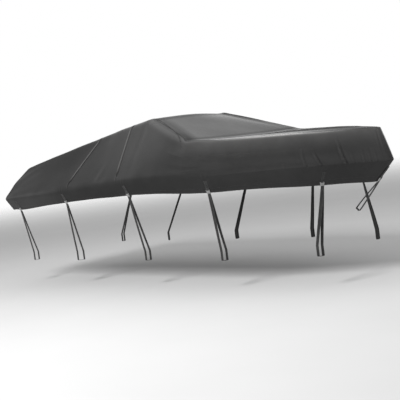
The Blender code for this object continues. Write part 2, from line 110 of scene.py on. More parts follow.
# %% The sections, stern first
RIDGE_FROM_STERN, RIDGE_HEIGHT = 2.915, 2.151
LINES = ("fold_x", "fold_w", "fold_z", "hem_x", "hem_w", "hem_z",
         "top_x", "top_w", "top_z", "crown", "belly")
SECTIONS = (
    (0.000, 1.153, 1.323, 0.050, 1.058, 1.143, 0.120, 0.735, 1.745, 0.020, 0.042),
    (0.350, 1.168, 1.338, 0.360, 1.078, 1.135, 0.450, 0.725, 1.802, 0.020, 0.030),
    (1.000, 1.192, 1.361, 1.000, 1.104, 1.165, 1.000, 0.724, 1.881, 0.018, 0.018),
    (1.650, 1.209, 1.376, 1.650, 1.120, 1.197, 1.650, 0.728, 1.971, 0.015, 0.010),
    (2.300, 1.221, 1.388, 2.300, 1.128, 1.207, 2.300, 0.733, 2.061, 0.014, 0.006),
    (2.750, 1.226, 1.402, 2.750, 1.130, 1.216, 2.750, 0.737, 2.118, 0.013, 0.004),
    (2.915, 1.226, 1.408, 2.915, 1.130, 1.219, 2.915, 0.737, 2.136, 0.017, 0.003),
    (3.050, 1.226, 1.412, 3.050, 1.129, 1.215, 3.050, 0.787, 2.092, 0.017, 0.002),
    (3.400, 1.219, 1.412, 3.390, 1.118, 1.201, 3.420, 0.927, 1.960, 0.020, 0.004),
    (3.800, 1.190, 1.398, 3.770, 1.080, 1.180, 3.800, 1.072, 1.824, 0.025, 0.010),
    (3.920, 1.167, 1.390, 3.880, 1.055, 1.173, 3.920, 1.118, 1.783, 0.030, 0.014),
    (4.300, 1.072, 1.366, 4.230, 0.955, 1.160, 4.280, 1.018, 1.768, 0.034, 0.018),
    (4.700, 0.916, 1.357, 4.600, 0.800, 1.148, 4.660, 0.862, 1.750, 0.036, 0.018),
    (5.100, 0.700, 1.347, 4.970, 0.600, 1.126, 5.040, 0.650, 1.729, 0.034, 0.016),
    (5.400, 0.495, 1.333, 5.250, 0.412, 1.108, 5.320, 0.455, 1.707, 0.030, 0.014),
    (5.650, 0.300, 1.316, 5.470, 0.240, 1.092, 5.550, 0.272, 1.688, 0.022, 0.010),
    (5.820, 0.144, 1.305, 5.610, 0.122, 1.082, 5.710, 0.130, 1.673, 0.012, 0.006),
    (5.900, 0.085, 1.302, 5.680, 0.068, 1.078, 5.780, 0.074, 1.666, 0.006, 0.003),
    (5.950, 0.040, 1.300, 5.722, 0.032, 1.077, 5.826, 0.034, 1.662, 0.002, 0.001),
    (5.968, 0.000, 1.300, 5.737, 0.000, 1.077, 5.842, 0.000, 1.661, 0.000, 0.000),
)
NOSE_X = SECTIONS[-1][0]
# Where each welt seam crosses the fold, and how far forward of that it meets the shoulder.
WELTS = ((1.63, 0.30), (2.70, -0.07))
# Tie-downs: name, distance from the stern, foot's distance and width, splay of the loop.
TIES = (("1", 0.25, 0.16, 0.885, 0.020), ("2", 1.49, 1.26, 0.885, 0.060),
        ("3", 2.84, 2.73, 0.885, 0.020), ("4", 4.17, 4.09, 0.885, 0.020),
        ("5", 5.42, 5.27, 0.600, 0.020))
TABS_AT = [tie[1] for tie in TIES]
HELD_AT = np.array([0.0] + TABS_AT + [NOSE_X])
print(len(SECTIONS), "sections,", len(TIES), "tie-downs a side")

# %% [markdown]
# ## Smooth lines through the sections
# Straight lines between the sections would leave knuckles in the cloth, and an ordinary
# spline swings past its points, which shows as ripples. The curve here is a monotone cubic:
# it passes through every value and never goes beyond its neighbours, as tight cloth does.

# %% Curves that never overshoot
def tight_curve(knots, values, at):
    """A monotone cubic through values at knots, read at many places at once."""
    knots, values = np.asarray(knots, float), np.asarray(values, float)
    step = np.diff(knots)
    rise = np.diff(values) / step
    slope = np.concatenate(([rise[0]], np.zeros(len(knots) - 2), [rise[-1]]))
    for k in range(1, len(knots) - 1):
        if rise[k - 1] * rise[k] > 0:
            before, after = 2 * step[k] + step[k - 1], step[k] + 2 * step[k - 1]
            slope[k] = (before + after) / (before / rise[k - 1] + after / rise[k])
    at = np.clip(at, knots[0], knots[-1])
    k = np.clip(np.searchsorted(knots, at) - 1, 0, len(knots) - 2)
    t = (at - knots[k]) / step[k]
    return ((1 + 2 * t) * (1 - t) ** 2 * values[k] + t * (1 - t) ** 2 * step[k] * slope[k]
            + t * t * (3 - 2 * t) * values[k + 1] - t * t * (1 - t) * step[k] * slope[k + 1])


PLACES = np.arange(len(SECTIONS), dtype=float)
FINE = np.linspace(0, len(SECTIONS) - 1, 3801)
TABLE = {line: tight_curve(PLACES, values, FINE)
         for line, values in zip(LINES, zip(*SECTIONS))}
LEAN = ([0.0, 0.7, WELTS[0][0], WELTS[1][0], 3.2, NOSE_X],
        [0.0, 0.12, WELTS[0][1], WELTS[1][1], 0.0, 0.0])


def read(line, place):
    """The value of a named line at a place, counted in sections from the stern."""
    return np.interp(place, FINE, TABLE[line])


def unit(vectors):
    length = np.linalg.norm(vectors, axis=-1, keepdims=True)
    return vectors / np.maximum(length, 1e-9)


def lengths_along(points):
    """The length of a line from its first point to each of its points."""
    return np.concatenate([[0.0], np.cumsum(np.linalg.norm(np.diff(points, axis=0), axis=1))])


def row_frame(points):
    """From the drawing's zero at the stern on the ground to the origin under the ridge."""
    return points - np.array([RIDGE_FROM_STERN, 0.0, RIDGE_HEIGHT])


print("fold at 3.0 m from the stern is", round(float(read("fold_w", 7.0)), 3), "m wide")

# %% [markdown]
# ## The surface of the cloth
# The whole cover is one grid. Its columns stand on the gunwale fold and lean with the welt
# seams, so that a welt is simply a column. Its rows run from the hem over the fold, up the
# side, round the shoulder and to the centreline. Sculpting the cover by hand would give
# lively folds, but its seams would miss the solid's, so the grid is computed.

# %% Rows and columns of the grid
NOSE_ROLL = 0.010
DECK_CORNER, CORNER_REACH = 3.90, 0.42
# How far the rounds of the cloth reach, from stern to bow: the gunwale fold's, the shoulder's
# down the side, and the shoulder's over the top, to starboard and to port.
ROUNDS_AT = (0.0, 1.0, 2.3, 2.75, 3.05, 3.4, 3.75, 3.95, 4.3, 5.1, 5.7, 5.968)
FOLD_ROUNDS = (.030, .075, .085, .080, .075, .065, .045, .035, .022, .016, .016, .016)
SIDE_ROUNDS = (.070, .070, .070, .090, .120, .130, .140, .150, .170, .190, .130, .010)
TOP_ROUNDS = ((.070, .070, .070, .090, .130, .130, .110, .060, .018, .014, .016, .010),
              (.070, .070, .070, .060, .045, .030, .025, .014, .012, .014, .016, .010))
HEM_RISE = 0.006
HEM_ROWS = (0.0, 0.003, 0.007, 0.012, 0.018, 0.026, 0.033, 0.036, 0.039, 0.046)
SKIRT_LENGTH = 0.20
skirt_shares = np.concatenate((np.array(HEM_ROWS) / SKIRT_LENGTH, np.linspace(0.30, 0.99, 9)))
fold_shares = np.linspace(0.0, 1.0, 6)
side_shares = np.linspace(0.02, 0.98, 42)
roll_shares = np.linspace(0.0, 1.0, 8)
top_shares = np.linspace(0.0, 1.0, 38)[1:]
SEAM = sum(map(len, (skirt_shares, fold_shares, side_shares, roll_shares))) - 1
CENTRE = SEAM + len(top_shares)
LAST = 2 * CENTRE

# Columns stand closer where the cloth is pinched, near the bow and at each tab, and closest
# across a welt.
WIDE_STEP, CLOSE_STEP, PULL_STEP, PINCHED_FROM, PULL_REACH = 0.0165, 0.0070, 0.0100, 4.98, 0.12
WELT_REACH, WELT_STEPS = 0.026, (-.024, -.018, -.013, -.009, -.005, 0.0,
                                 .004, .008, .012, .018, .024)
columns = list(np.arange(0.0, PINCHED_FROM, WIDE_STEP))
for tab_at in TABS_AT[:4]:
    columns = [c for c in columns if abs(c - tab_at) > PULL_REACH]
    columns += list(tab_at + np.arange(-PULL_REACH, PULL_REACH + 0.001, PULL_STEP))
columns = [c for c in columns if c < PINCHED_FROM]
columns += list(np.arange(PINCHED_FROM, NOSE_X - 0.004, CLOSE_STEP)) + [NOSE_X]
for welt_at, _ in WELTS:
    columns = [c for c in columns if abs(c - welt_at) > WELT_REACH]
    columns += [welt_at + step for step in WELT_STEPS]
columns = np.array(sorted(columns))
print(len(columns), "columns,", LAST + 1, "rows")

# %% Points of the plain cloth, before folds
def corner(start, bend, end, share):
    """A rounded corner, from start to end with its bend between them."""
    share = share[..., None]
    return (1 - share) ** 2 * start + 2 * share * (1 - share) * bend + share ** 2 * end


def lines_at(distance, share):
    """Hem, fold, shoulder and all values where a column passes a share of its height."""
    lean = tight_curve(*LEAN, distance)
    place = np.interp(np.minimum(distance + lean * share, NOSE_X), TABLE["fold_x"], FINE)
    value = {line: read(line, place) for line in LINES}
    points = [np.stack([value[f"{line}_x"], -value[f"{line}_w"], value[f"{line}_z"]], -1)
              for line in ("hem", "fold", "top")]
    return (*points, value)


def hem_rise(distance):
    """How far the hem rises between the places where it is held down."""
    gap = np.clip(np.searchsorted(HELD_AT, distance, side="right") - 1, 0, len(HELD_AT) - 2)
    phase = (distance - HELD_AT[gap]) / (HELD_AT[gap + 1] - HELD_AT[gap])
    return HEM_RISE * np.sin(math.pi * phase) ** 2


def half_cloth(distance, top_rounds):
    """Columns of the starboard half from the hem to the centreline."""
    fold_round, side_round, top_round = (tight_curve(ROUNDS_AT, rounds, distance)[:, None, None]
                                         for rounds in (FOLD_ROUNDS, SIDE_ROUNDS, top_rounds))
    ones = np.ones((len(distance), 1))
    wide = distance[:, None]
    hem, fold, shoulder, _ = lines_at(wide * ones, 0.0 * ones)
    hem[..., 2] += hem_rise(wide)
    height = np.linalg.norm(shoulder - fold, axis=-1, keepdims=True)
    reach = np.minimum(fold_round, 0.2 * height)
    start = fold + unit(hem - fold) * reach
    end = fold + unit(shoulder - fold) * reach
    skirt = hem + (start - hem) * skirt_shares[None, :, None]
    turn = corner(start, fold, end, fold_shares[None, :] * ones)

    _, low, high, value = lines_at(wide * ones, ones)
    half = np.abs(high[..., 1:2])
    blunt = half > 1e-4
    inward = np.where(blunt, np.minimum(top_round, 0.45 * half), NOSE_ROLL)
    roll = np.where(blunt, np.minimum(side_round, 0.45 * half), NOSE_ROLL)
    crown = value["crown"][..., None]

    def on_top(y):
        rise = np.where(blunt, crown * (1 - (y / np.maximum(half, 1e-6)) ** 2), crown)
        return np.concatenate([high[..., 0:1] + 0 * y, y, high[..., 2:3] + rise], -1)

    edge = np.where(blunt, on_top(high[..., 1:2] + inward), high + [0, 0, 1e-4])
    roll_start = high + unit(low - high) * roll
    roll_end = np.where(blunt, high + unit(edge - high) * inward, high)
    shoulder_turn = corner(roll_start, high, roll_end, roll_shares[None, :] * ones)

    first = (reach / height)[..., 0]
    last = 1 - (roll / np.linalg.norm(high - low, axis=-1, keepdims=True))[..., 0]
    share = first + (last - first) * side_shares[None, :]
    grow = np.ones((1, len(side_shares)))
    _, low, high_now, value = lines_at(wide * grow, side_shares[None, :] * ones)
    out = unit(np.cross(high_now - low, np.array([1.0, 0.0, 0.0])))
    out = out * np.where(out[..., 1:2] > 0, -1.0, 1.0)
    out = np.where((wide * grow)[..., None] > NOSE_X - 0.012, np.array([1.0, 0.0, 0.0]), out)
    flat_stern = 1 - 0.6 * np.exp(-(wide / 0.4) ** 2)
    swell = value["belly"] * 4 * side_shares * (1 - side_shares) * flat_stern
    side = low + (high_now - low) * share[..., None] + out * swell[..., None]

    y = roll_end[..., 1:2] * (1 - top_shares[None, :, None])
    top = on_top(y)
    top[..., 0] = high[..., 0]
    return np.concatenate([skirt, turn, side, shoulder_turn, top], axis=1)


def relaxed(half):
    """Cloth can't hold the sharp corner of the deck's edge all the way down the side, so the
    columns round it are averaged along the side, more the lower they are."""
    fold = len(skirt_shares) + len(fold_shares)
    for j in range(fold, SEAM):
        down = (SEAM - j) / (SEAM - fold)
        spread = 0.012 + 0.20 * min(1.0, 2.6 * down) * min(1.0, 4.0 * (1 - down))
        weight = np.exp(-0.5 * ((columns[:, None] - columns[None]) / spread) ** 2) \
            * np.gradient(columns)[None]
        mean = weight @ half[:, j] / weight.sum(axis=1, keepdims=True)
        here = np.exp(-((columns - DECK_CORNER) / CORNER_REACH) ** 4)[:, None]
        shift = (mean - half[:, j]) * here
        shift[:, 0] = 0.0
        half[:, j] += shift
    return half


def whole(half, port_half):
    """Both halves side by side. They share the centreline, which is taken once."""
    return np.concatenate([half, port_half[:, -2::-1]], axis=1)


starboard, port_half = (relaxed(half_cloth(columns, rounds)) for rounds in TOP_ROUNDS)
grid = whole(starboard, port_half * [1, -1, 1])
print("grid", grid.shape, "holes:", int(np.isnan(grid).sum()))

# %% [markdown]
# ## Folds, puckers and pulls
# Cloth that is pulled tight still shows where it is pulled. Near the bow it crowds over the
# gunwale, and short pinched folds stand up from the fold line. Each tab draws a small fan of
# creases, the hem puckers along its stitching, and wide soft waves run over the large
# panels. A cloth simulation would put folds wherever it likes, so each fold is written down
# as a short line on the cloth, with its width and height, and lifts the grid along its
# normals.

# %% Distances on the cloth
def grid_normals(points):
    """Directions out of the cloth. The last column is the stem, where they face the bow."""
    around = np.cross(np.gradient(points, axis=0), np.gradient(points, axis=1))
    nose = points[-1]
    for j in range(LAST + 1):
        row = min(j, LAST - j, SEAM)
        run = nose[min(row + 1, SEAM)] - nose[max(row - 1, 0)]
        around[-1][j] = (run[2], 0.0, -run[0])
    return unit(around)


FOLD = len(skirt_shares) + len(fold_shares) // 2
girth = np.linalg.norm(np.diff(starboard, axis=1), axis=2)
girth = np.concatenate([np.zeros((len(columns), 1)), np.cumsum(girth, axis=1)], axis=1)
rise = girth - girth[:, FOLD:FOLD + 1]
run = lengths_along(starboard[:, FOLD])
seam_rise = rise[:, SEAM]
over_seam = rise - seam_rise[:, None]


def run_at(distance):
    """Length along the gunwale fold at a distance from the stern."""
    return np.interp(distance, columns, run)


print(f"fold line {run[-1]:.2f} m, hem to centreline {girth.max():.2f} m at most")

# %% The folds, as lines on the cloth
# Each row: distance from the stern and height above the fold at the fold's strong end and at
# its faint end, its half width, and its height on the starboard and on the port side.
FOLDS = (
    (5.247, 0.010, 5.235, 0.250, 0.012, 0.0100, 0.0050),
    (5.379, 0.005, 5.338, 0.200, 0.012, 0.0140, 0.0110),
    (5.594, 0.000, 5.566, 0.330, 0.013, 0.0180, 0.0090),
    (5.660, 0.000, 5.668, 0.150, 0.011, 0.0045, 0.0055),
    (5.742, 0.000, 5.757, 0.150, 0.009, 0.0085, 0.0035),
    (5.792, 0.000, 5.808, 0.160, 0.009, 0.0085, 0.0050),
    (5.841, 0.000, 5.860, 0.140, 0.009, 0.0070, 0.0045),
    (5.049, 0.030, 5.062, -0.035, 0.012, 0.0045, 0.0030),
    (5.120, 0.025, 5.105, -0.030, 0.012, 0.0000, 0.0050),
    (3.448, 0.012, 3.440, -0.025, 0.011, 0.0040, 0.0020),
    (5.694, -0.015, 5.700, -0.070, 0.010, 0.0040, 0.0030),
    (5.742, -0.045, 5.738, -0.100, 0.010, 0.0035, 0.0040),
    (5.795, -0.090, 5.800, -0.150, 0.010, 0.0040, 0.0020),
    (0.030, 0.280, 0.640, 0.620, 0.070, 0.0045, 0.0035),
    (0.050, 0.120, 0.900, 0.240, 0.060, -0.0040, -0.0040),
    (2.300, 0.080, 2.420, 0.330, 0.050, 0.0030, 0.0040),
    (5.938, 0.350, 5.912, 0.030, 0.010, -0.0070, -0.0060),
)
# The fan above each tab: steps forward and up, and height.
FAN = ((-0.110, 0.055, 0.0022), (-0.035, 0.120, 0.0030), (0.045, 0.105, 0.0026),
       (0.115, 0.050, 0.0022))
FAN_WIDTH = 0.011
# Heights of the side's waves, of those along the fold, and of the fuller port edge. Beside a
# crease lies a valley, whose depth is a share of its height.
SIDE_WAVES, FOLD_WAVES, PORT_EDGE, VALLEY = 0.0016, 0.0022, 0.013, 0.35
TAB_TOP_RISE = -0.065
# The front slope's edge is taken in by a seam that runs off over the deck's corner: distance
# from the stern, and height over the shoulder.
DART = ((2.97, 0.030), (3.12, 0.034), (3.28, 0.022), (3.45, 0.004), (3.59, -0.018),
        (3.70, -0.042), (3.80, -0.078), (3.88, -0.125))


def beside_line(x, y, start, end):
    """How far down a line each point lies, as a share of its length, and how far off it."""
    length = np.linalg.norm(end - start)
    along = (end - start) / length
    x, y = x - start[0], y - start[1]
    share = np.clip((x * along[0] + y * along[1]) / length, 0.0, 1.0)
    return share, np.hypot(x - share * length * along[0], y - share * length * along[1])


def ridge(start, end, width, height):
    """Lift of a crease that fades from start to end, with a shallow valley beside it."""
    share, off = beside_line(run[:, None], rise, np.array([run_at(start[0]), start[1]]),
                             np.array([run_at(end[0]), end[1]]))
    fade = np.cos(0.5 * math.pi * share) ** 1.3
    crest = np.exp(-(off / width) ** 2)
    valley = np.exp(-((off - 2.0 * width) / width) ** 2)
    return height * fade * (crest - VALLEY * valley)


def soft_waves(x, y, size, seed, count=7):
    """Wide waves without a direction of their own, from a few sines with fixed seeds."""
    chance = np.random.default_rng(seed)
    total = np.zeros(np.broadcast(x, y).shape)
    for _ in range(count):
        angle, scale, phase = chance.uniform(0, math.pi), chance.uniform(0.6, 1.7), \
            chance.uniform(0, 2 * math.pi)
        wave = 2 * math.pi / (size * scale)
        total += np.sin(wave * (math.cos(angle) * x + math.sin(angle) * y) + phase)
    return total / math.sqrt(count)


def side_lift(side):
    """How far the folds lift the cloth of one half. side is 0, starboard, or 1, port."""
    lift = SIDE_WAVES * soft_waves(run[:, None], rise, 0.75, 11 + side)
    lift += FOLD_WAVES * soft_waves(run[:, None], 0.0 * rise, 0.35, 21 + side) \
        * np.exp(-(rise / 0.045) ** 2)
    if side:
        # The port edge of the slope stands a little fuller.
        lift += PORT_EDGE * np.exp(-((columns[:, None] - 3.3) / 0.5) ** 2) \
            * np.exp(-(over_seam / 0.12) ** 2)
    for x0, y0, x1, y1, width, *heights in FOLDS:
        if heights[side]:
            lift += ridge((x0, y0), (x1, y1), width, heights[side])
    for at in TABS_AT:
        for forward, above, height in FAN:
            lift += ridge((at + 0.4 * forward, TAB_TOP_RISE),
                          (at + forward, TAB_TOP_RISE + above), FAN_WIDTH, height)
    return lift


print(len(FOLDS), "folds a side and", len(FAN) * len(TIES), "pulls at the tabs")

# %% Welts, hem and the top's own folds
WELT_HEIGHT, WELT_HALF = 0.007, 0.0100
HEM_ROPE, HEM_ROPE_ROUND, HEM_STITCH = 0.0032, 0.018, 0.036
HEM_GROOVE, HEM_PUCKER, DART_DEPTH, DART_HALF = 0.0009, 0.0010, 0.0028, 0.013
# How far the top sags aft, along the deck and round its corners, and how far it stands up at
# the ridge and on the front slope.
AFT_SAG, DECK_SAG, CORNER_SAG, RIDGE_RISE, PILLOW_RISE, TOP_WAVES = \
    0.010, 0.022, 0.042, 0.012, 0.005, 0.0020
EDGE_PULLS = (0.016, 0.008)
# Folds of the top on each side: start and end, each as a distance from the stern and a
# distance from the centreline, then the half width and the height.
TOP_FOLDS = (((2.88, 0.70), (1.10, 0.10), 0.050, 0.0055),
             ((2.88, 0.72), (0.90, 0.45), 0.045, 0.0045),
             ((0.14, 0.70), (1.20, 0.05), 0.055, 0.0050),
             ((3.95, 1.05), (4.90, 0.30), 0.060, 0.0020))


def smooth_step(low, high, value):
    """0 up to low, 1 from high on, and a smooth way between."""
    t = np.clip((value - low) / (high - low), 0.0, 1.0)
    return t * t * (3 - 2 * t)


def welt_lift():
    """A welt is a folded seam allowance that stands up as a rib and ends in the fold."""
    lift = np.zeros_like(rise)
    for at, _ in WELTS:
        off = columns[:, None] - at
        fade = smooth_step(0.0, 0.06, rise) * smooth_step(0.0, 0.13, -over_seam)
        rib = np.exp(-(off / WELT_HALF) ** 4) - VALLEY * np.exp(-((off - 0.021) / 0.007) ** 2)
        lift += WELT_HEIGHT * rib * fade
    return lift


def dart_lift():
    """The groove that the dart's seam draws into the cloth, deepest at the deck's corner."""
    off = over_seam - tight_curve(*zip(*DART), columns)[:, None]
    length = smooth_step(3.0, 3.6, columns) * (1 - smooth_step(3.86, 3.95, columns))
    return -DART_DEPTH * np.exp(-(off / DART_HALF) ** 2) * length[:, None]


def hem_lift(from_hem, pucker):
    """A rope in the hem, the groove of its stitches and the puckers they draw."""
    rope = HEM_ROPE * np.sin(math.pi * np.clip(from_hem / HEM_ROPE_ROUND, 0, 1))
    groove = -HEM_GROOVE * np.exp(-((from_hem - HEM_STITCH) / 0.003) ** 2)
    band = np.exp(-((from_hem - 0.030) / 0.022) ** 2)
    return rope + groove + HEM_PUCKER * pucker * band


def top_lift(x, y):
    """The top sags a little between the ridge and the stern and across the bow deck, and
    tension folds run out from the ridge's two corners and from the deck's."""
    width = np.maximum(np.abs(y[:, SEAM:SEAM + 1]), 1e-4)
    across = np.clip(1 - (y / width) ** 2, 0.0, 1.0)
    aft = np.sin(math.pi * np.clip(x / RIDGE_FROM_STERN, 0, 1))
    # The deck hangs straight, or a little hollow, between its two corners.
    deck = np.sin(math.pi * np.clip((x - 3.95) / 1.9, 0, 1))
    corner_line = np.where(x < 3.94, np.clip((x - 2.95) / 0.99, 0, 1),
                           np.exp(-((x - 3.94) / 0.55) ** 2))
    slope = np.sin(math.pi * np.clip((x - 2.95) / 0.95, 0, 1))
    ridge_here = np.exp(-((x - 3.0) / 0.45) ** 2)
    inboard_of_edge = np.clip((width - np.abs(y)) / 0.22, 0.0, 1.0)
    pillow = slope * np.sin(0.5 * math.pi * inboard_of_edge)
    lift = -across * (AFT_SAG * aft + DECK_SAG * deck + CORNER_SAG * corner_line) \
        + RIDGE_RISE * across * ridge_here \
        + PILLOW_RISE * pillow + TOP_WAVES * across * soft_waves(x, y, 0.9, 41)
    for side in (-1.0, 1.0):
        for start, end, wide, height in TOP_FOLDS:
            share, off = beside_line(x, y, np.array([start[0], side * start[1]]),
                                     np.array([end[0], side * (end[1] + 0.04 * side)]))
            lift += height * np.cos(0.5 * math.pi * share) * np.exp(-(off / wide) ** 2)
    return lift


def free_cloth():
    """1 where the cloth is free and 0 under a tab, whose stiff webbing holds it flat."""
    free = np.ones_like(rise)
    under = 1 - smooth_step(TAB_TOP_RISE - 0.01, TAB_TOP_RISE + 0.02, rise)
    for at in HELD_AT[1:]:
        off = np.abs(run[:, None] - run_at(at))
        free *= 1 - under * (1 - smooth_step(0.025, 0.050, off))
    return free


# %% The grid with all its folds
inboard = smooth_step(0.0, 0.16, over_seam)
halves = []
for side in (0, 1):
    pucker = soft_waves(run[:, None], 0.3 * girth, 0.036, 31 + side, 5)
    tied = (side_lift(side) + hem_lift(girth, pucker)) * free_cloth()
    halves.append((tied + welt_lift()) * (1 - inboard))
lift = whole(*halves)
both = whole(inboard, inboard)
lift += both * top_lift(grid[..., 0], grid[..., 1])
lift += whole(dart_lift(), dart_lift())
# The two sides meet in the stem, so nothing lifts there on one side only.
lift[-1] = 0.5 * (lift[-1] + lift[-1][::-1])
grid = grid + grid_normals(grid) * lift[..., None]
# Along the bow the deck's edge is pulled down a little under its drawn line.
pulled = smooth_step(4.0, 4.5, columns) * (1 - smooth_step(5.55, 5.90, columns))
near_edge = pulled[:, None] * np.exp(-(over_seam / 0.13) ** 2)
grid[..., 2] -= whole(*(pull * near_edge for pull in EDGE_PULLS))
grid = row_frame(grid)
normals = grid_normals(grid)
print(f"lift from {lift.min() * 1000:.1f} to {lift.max() * 1000:.1f} mm")

# %% [markdown]
# ## Shader maths that reads like maths
# A material is a graph of nodes. Adding each Math node by hand hides the idea, so one small
# class wraps a socket: arithmetic on it adds the Math nodes, and its `node` method adds any
# other node. Every finish below is written with it.

# %% A socket that can be calculated with
class Sock:
    """An output socket of a shader tree, or the bare tree where socket is None."""

    def __init__(self, tree, socket=None):
        self.tree, self.socket = tree, socket

    def node(self, kind, settings=None, values=None, out=0):
        made = self.tree.nodes.new(kind)
        for name, value in (settings or {}).items():
            setattr(made, name, value)
        for name, value in (values or {}).items():
            if isinstance(value, Sock):
                self.tree.links.new(value.socket, made.inputs[name])
            else:
                made.inputs[name].default_value = value
        return Sock(self.tree, made.outputs[out])

    def math(self, operation, *others):
        return self.node("ShaderNodeMath", {"operation": operation},
                         dict(enumerate((self, *others))))

    def __add__(self, other):
        return self.math("ADD", other)

    def __mul__(self, other):
        return self.math("MULTIPLY", other)

    def __sub__(self, other):
        return self.math("SUBTRACT", other)

    def __rsub__(self, other):
        return self.node("ShaderNodeMath", {"operation": "SUBTRACT"}, {0: other, 1: self})

    __radd__, __rmul__ = __add__, __mul__

    def sine(self):
        return self.math("SINE")

    def between(self, low, high):
        """0 below low, 1 above high, and a smooth way between."""
        return self.node("ShaderNodeMapRange", {"interpolation_type": "SMOOTHSTEP"},
                         {"Value": self, "From Min": low, "From Max": high})

    def noise(self, scale, detail=3.0, roughness=0.5):
        return self.node("ShaderNodeTexNoise", None,
                         {"Vector": self, "Scale": scale, "Detail": detail,
                          "Roughness": roughness})

    def axis(self, number):
        """One of a vector's three numbers: 0, 1 or 2."""
        return self.node("ShaderNodeSeparateXYZ", None, {0: self}, out=number)

    def bump(self, strength):
        """The normal of a surface with this value as its height in metres."""
        return self.node("ShaderNodeBump", None,
                         {"Height": self, "Strength": strength, "Distance": 1.0})

    def mix(self, dark, light):
        """The colour between dark and light at this value."""
        return self.node("ShaderNodeMix", {"data_type": "RGBA"},
                         {0: self, 6: dark, 7: light}, out=2)


def new_material(name, **constants):
    """A material with one shader, its constants set, and its tree ready for Sock."""
    made = bpy.data.materials.new(name)
    made.use_nodes = True
    shader = made.node_tree.nodes["Principled BSDF"]
    for key, value in constants.items():
        shader.inputs[key.replace("_", " ").title().replace("Ior", "IOR")].default_value = value
    return made, shader, Sock(made.node_tree)


def plug(shader, **links):
    for key, value in links.items():
        name = key.replace("_", " ").title()
        value.tree.links.new(value.socket, shader.inputs[name])


def grey(value, warmth=0.0):
    return (value * (1 + warmth), value, value * (1 - warmth), 1.0)


print("shader maths ready")

# %% [markdown]
# ## Canvas
# Boat canvas is a plain weave of thick polyester yarn, dyed dark grey and coated. It is
# dark and matt when looked at squarely, and shines softly where the eye meets it at a low
# angle, because the coating reflects. It fades where the sun stands on it, collects dust,
# and wears pale along its folds. The weave could be an image, but two crossed sines on the
# piece's own UV map, which counts metres along and up the cloth, follow every fold and never
# blur. Three values that each panel carries on its points steer the rest. The first says how
# pale it is rubbed and also carries painted light: a painted highlight along the shoulder and
# the deck's edge, painted light high on the side and painted shade on the upper aft side. The
# second says how much of its coating still shines, and the third is a painted highlight, a
# pale line along the deck's edge and on the seams and welts.

# %% The canvas material
YARN = 0.0016
CANVAS_DARK, CANVAS_PALE, DUST_AND_PAINTED_LIGHT, HIGHLIGHT_GREY = 0.0140, 0.0220, 0.0850, 0.5500


def make_canvas():
    made, shader, paint = new_material("canvas", specular_ior_level=0.50, ior=1.25,
                                       coat_roughness=0.18, coat_ior=1.45)
    place = paint.node("ShaderNodeTexCoord", out="Object")
    on_cloth = paint.node("ShaderNodeUVMap", {"uv_map": "cloth"})
    along, upward = on_cloth.axis(0), on_cloth.axis(1)
    wear, gloss, bare = (paint.node("ShaderNodeAttribute", {"attribute_name": name}, out="Fac")
                         for name in ("wear", "gloss", "bare"))
    facing_up = paint.node("ShaderNodeNewGeometry", out="Normal").axis(2)

    clouds = place.noise(1.1, 4.0, 0.6)
    patches = place.noise(6.0, 5.0, 0.65)
    specks = place.noise(90.0, 3.0, 0.6)
    slubs = on_cloth.node("ShaderNodeMapping", None, {"Vector": on_cloth,
                                                      "Scale": (14.0, 420.0, 1.0)}).noise(1.0, 2)
    shade = clouds * 0.55 + patches * 0.30 + slubs * 0.15
    colour = shade.between(0.34, 0.66).mix(grey(CANVAS_DARK), grey(CANVAS_PALE, 0.005))
    # Sun fade, dust specks and wear pale the cloth towards one grey. The wear value also carries
    # painted light: a painted highlight along the shoulder and the deck's edge, painted light
    # high on the side, and painted shade on the upper aft side.
    sun = facing_up.between(0.30, 1.00) * (0.02 + 0.06 * clouds)
    rubbed_and_painted_light = wear * (0.85 + 0.15 * patches.between(0.40, 0.62)) * 0.44
    dust_and_painted_light_sum = sun + rubbed_and_painted_light + specks.between(0.62, 0.80) * 0.05
    dust_and_painted_light_share = dust_and_painted_light_sum.node("ShaderNodeClamp", None, {"Value": dust_and_painted_light_sum})
    colour = dust_and_painted_light_share.mix(colour, grey(DUST_AND_PAINTED_LIGHT, 0.01))
    # The painted highlight along the deck's edge, on the seam bands and on the welts, mixed in
    # as a pale grey.
    threadbare = bare * (0.90 + 0.2 * patches)
    colour = threadbare.mix(colour, grey(HIGHLIGHT_GREY, 0.01))

    turn = 2 * math.pi / YARN
    weave = (along * turn).sine() * (upward * turn).sine()
    relief = weave * 0.00010 + specks * 0.00012 + slubs * 0.00010 + patches * 0.0006
    roughness = 0.56 + 0.14 * patches - 0.05 * wear - 0.22 * gloss
    plug(shader, base_color=colour, roughness=roughness, normal=relief.bump(0.45),
         coat_weight=gloss)
    return made


canvas = make_canvas()
print("canvas nodes:", len(canvas.node_tree.nodes))

# %% [markdown]
# ## Webbing, thread and buckles
# Tie-down webbing is woven flat from thick polypropylene, so it has a rib across it every
# two millimetres and a firm edge. The thread is a heavier, slightly paler polyester. The
# buckles are moulded acetal, smooth enough to show a small bright highlight, and their pale
# grey colour is a painted highlight.

# %% The other finishes
RIB, RIB_BEND = 0.0022, 0.0095


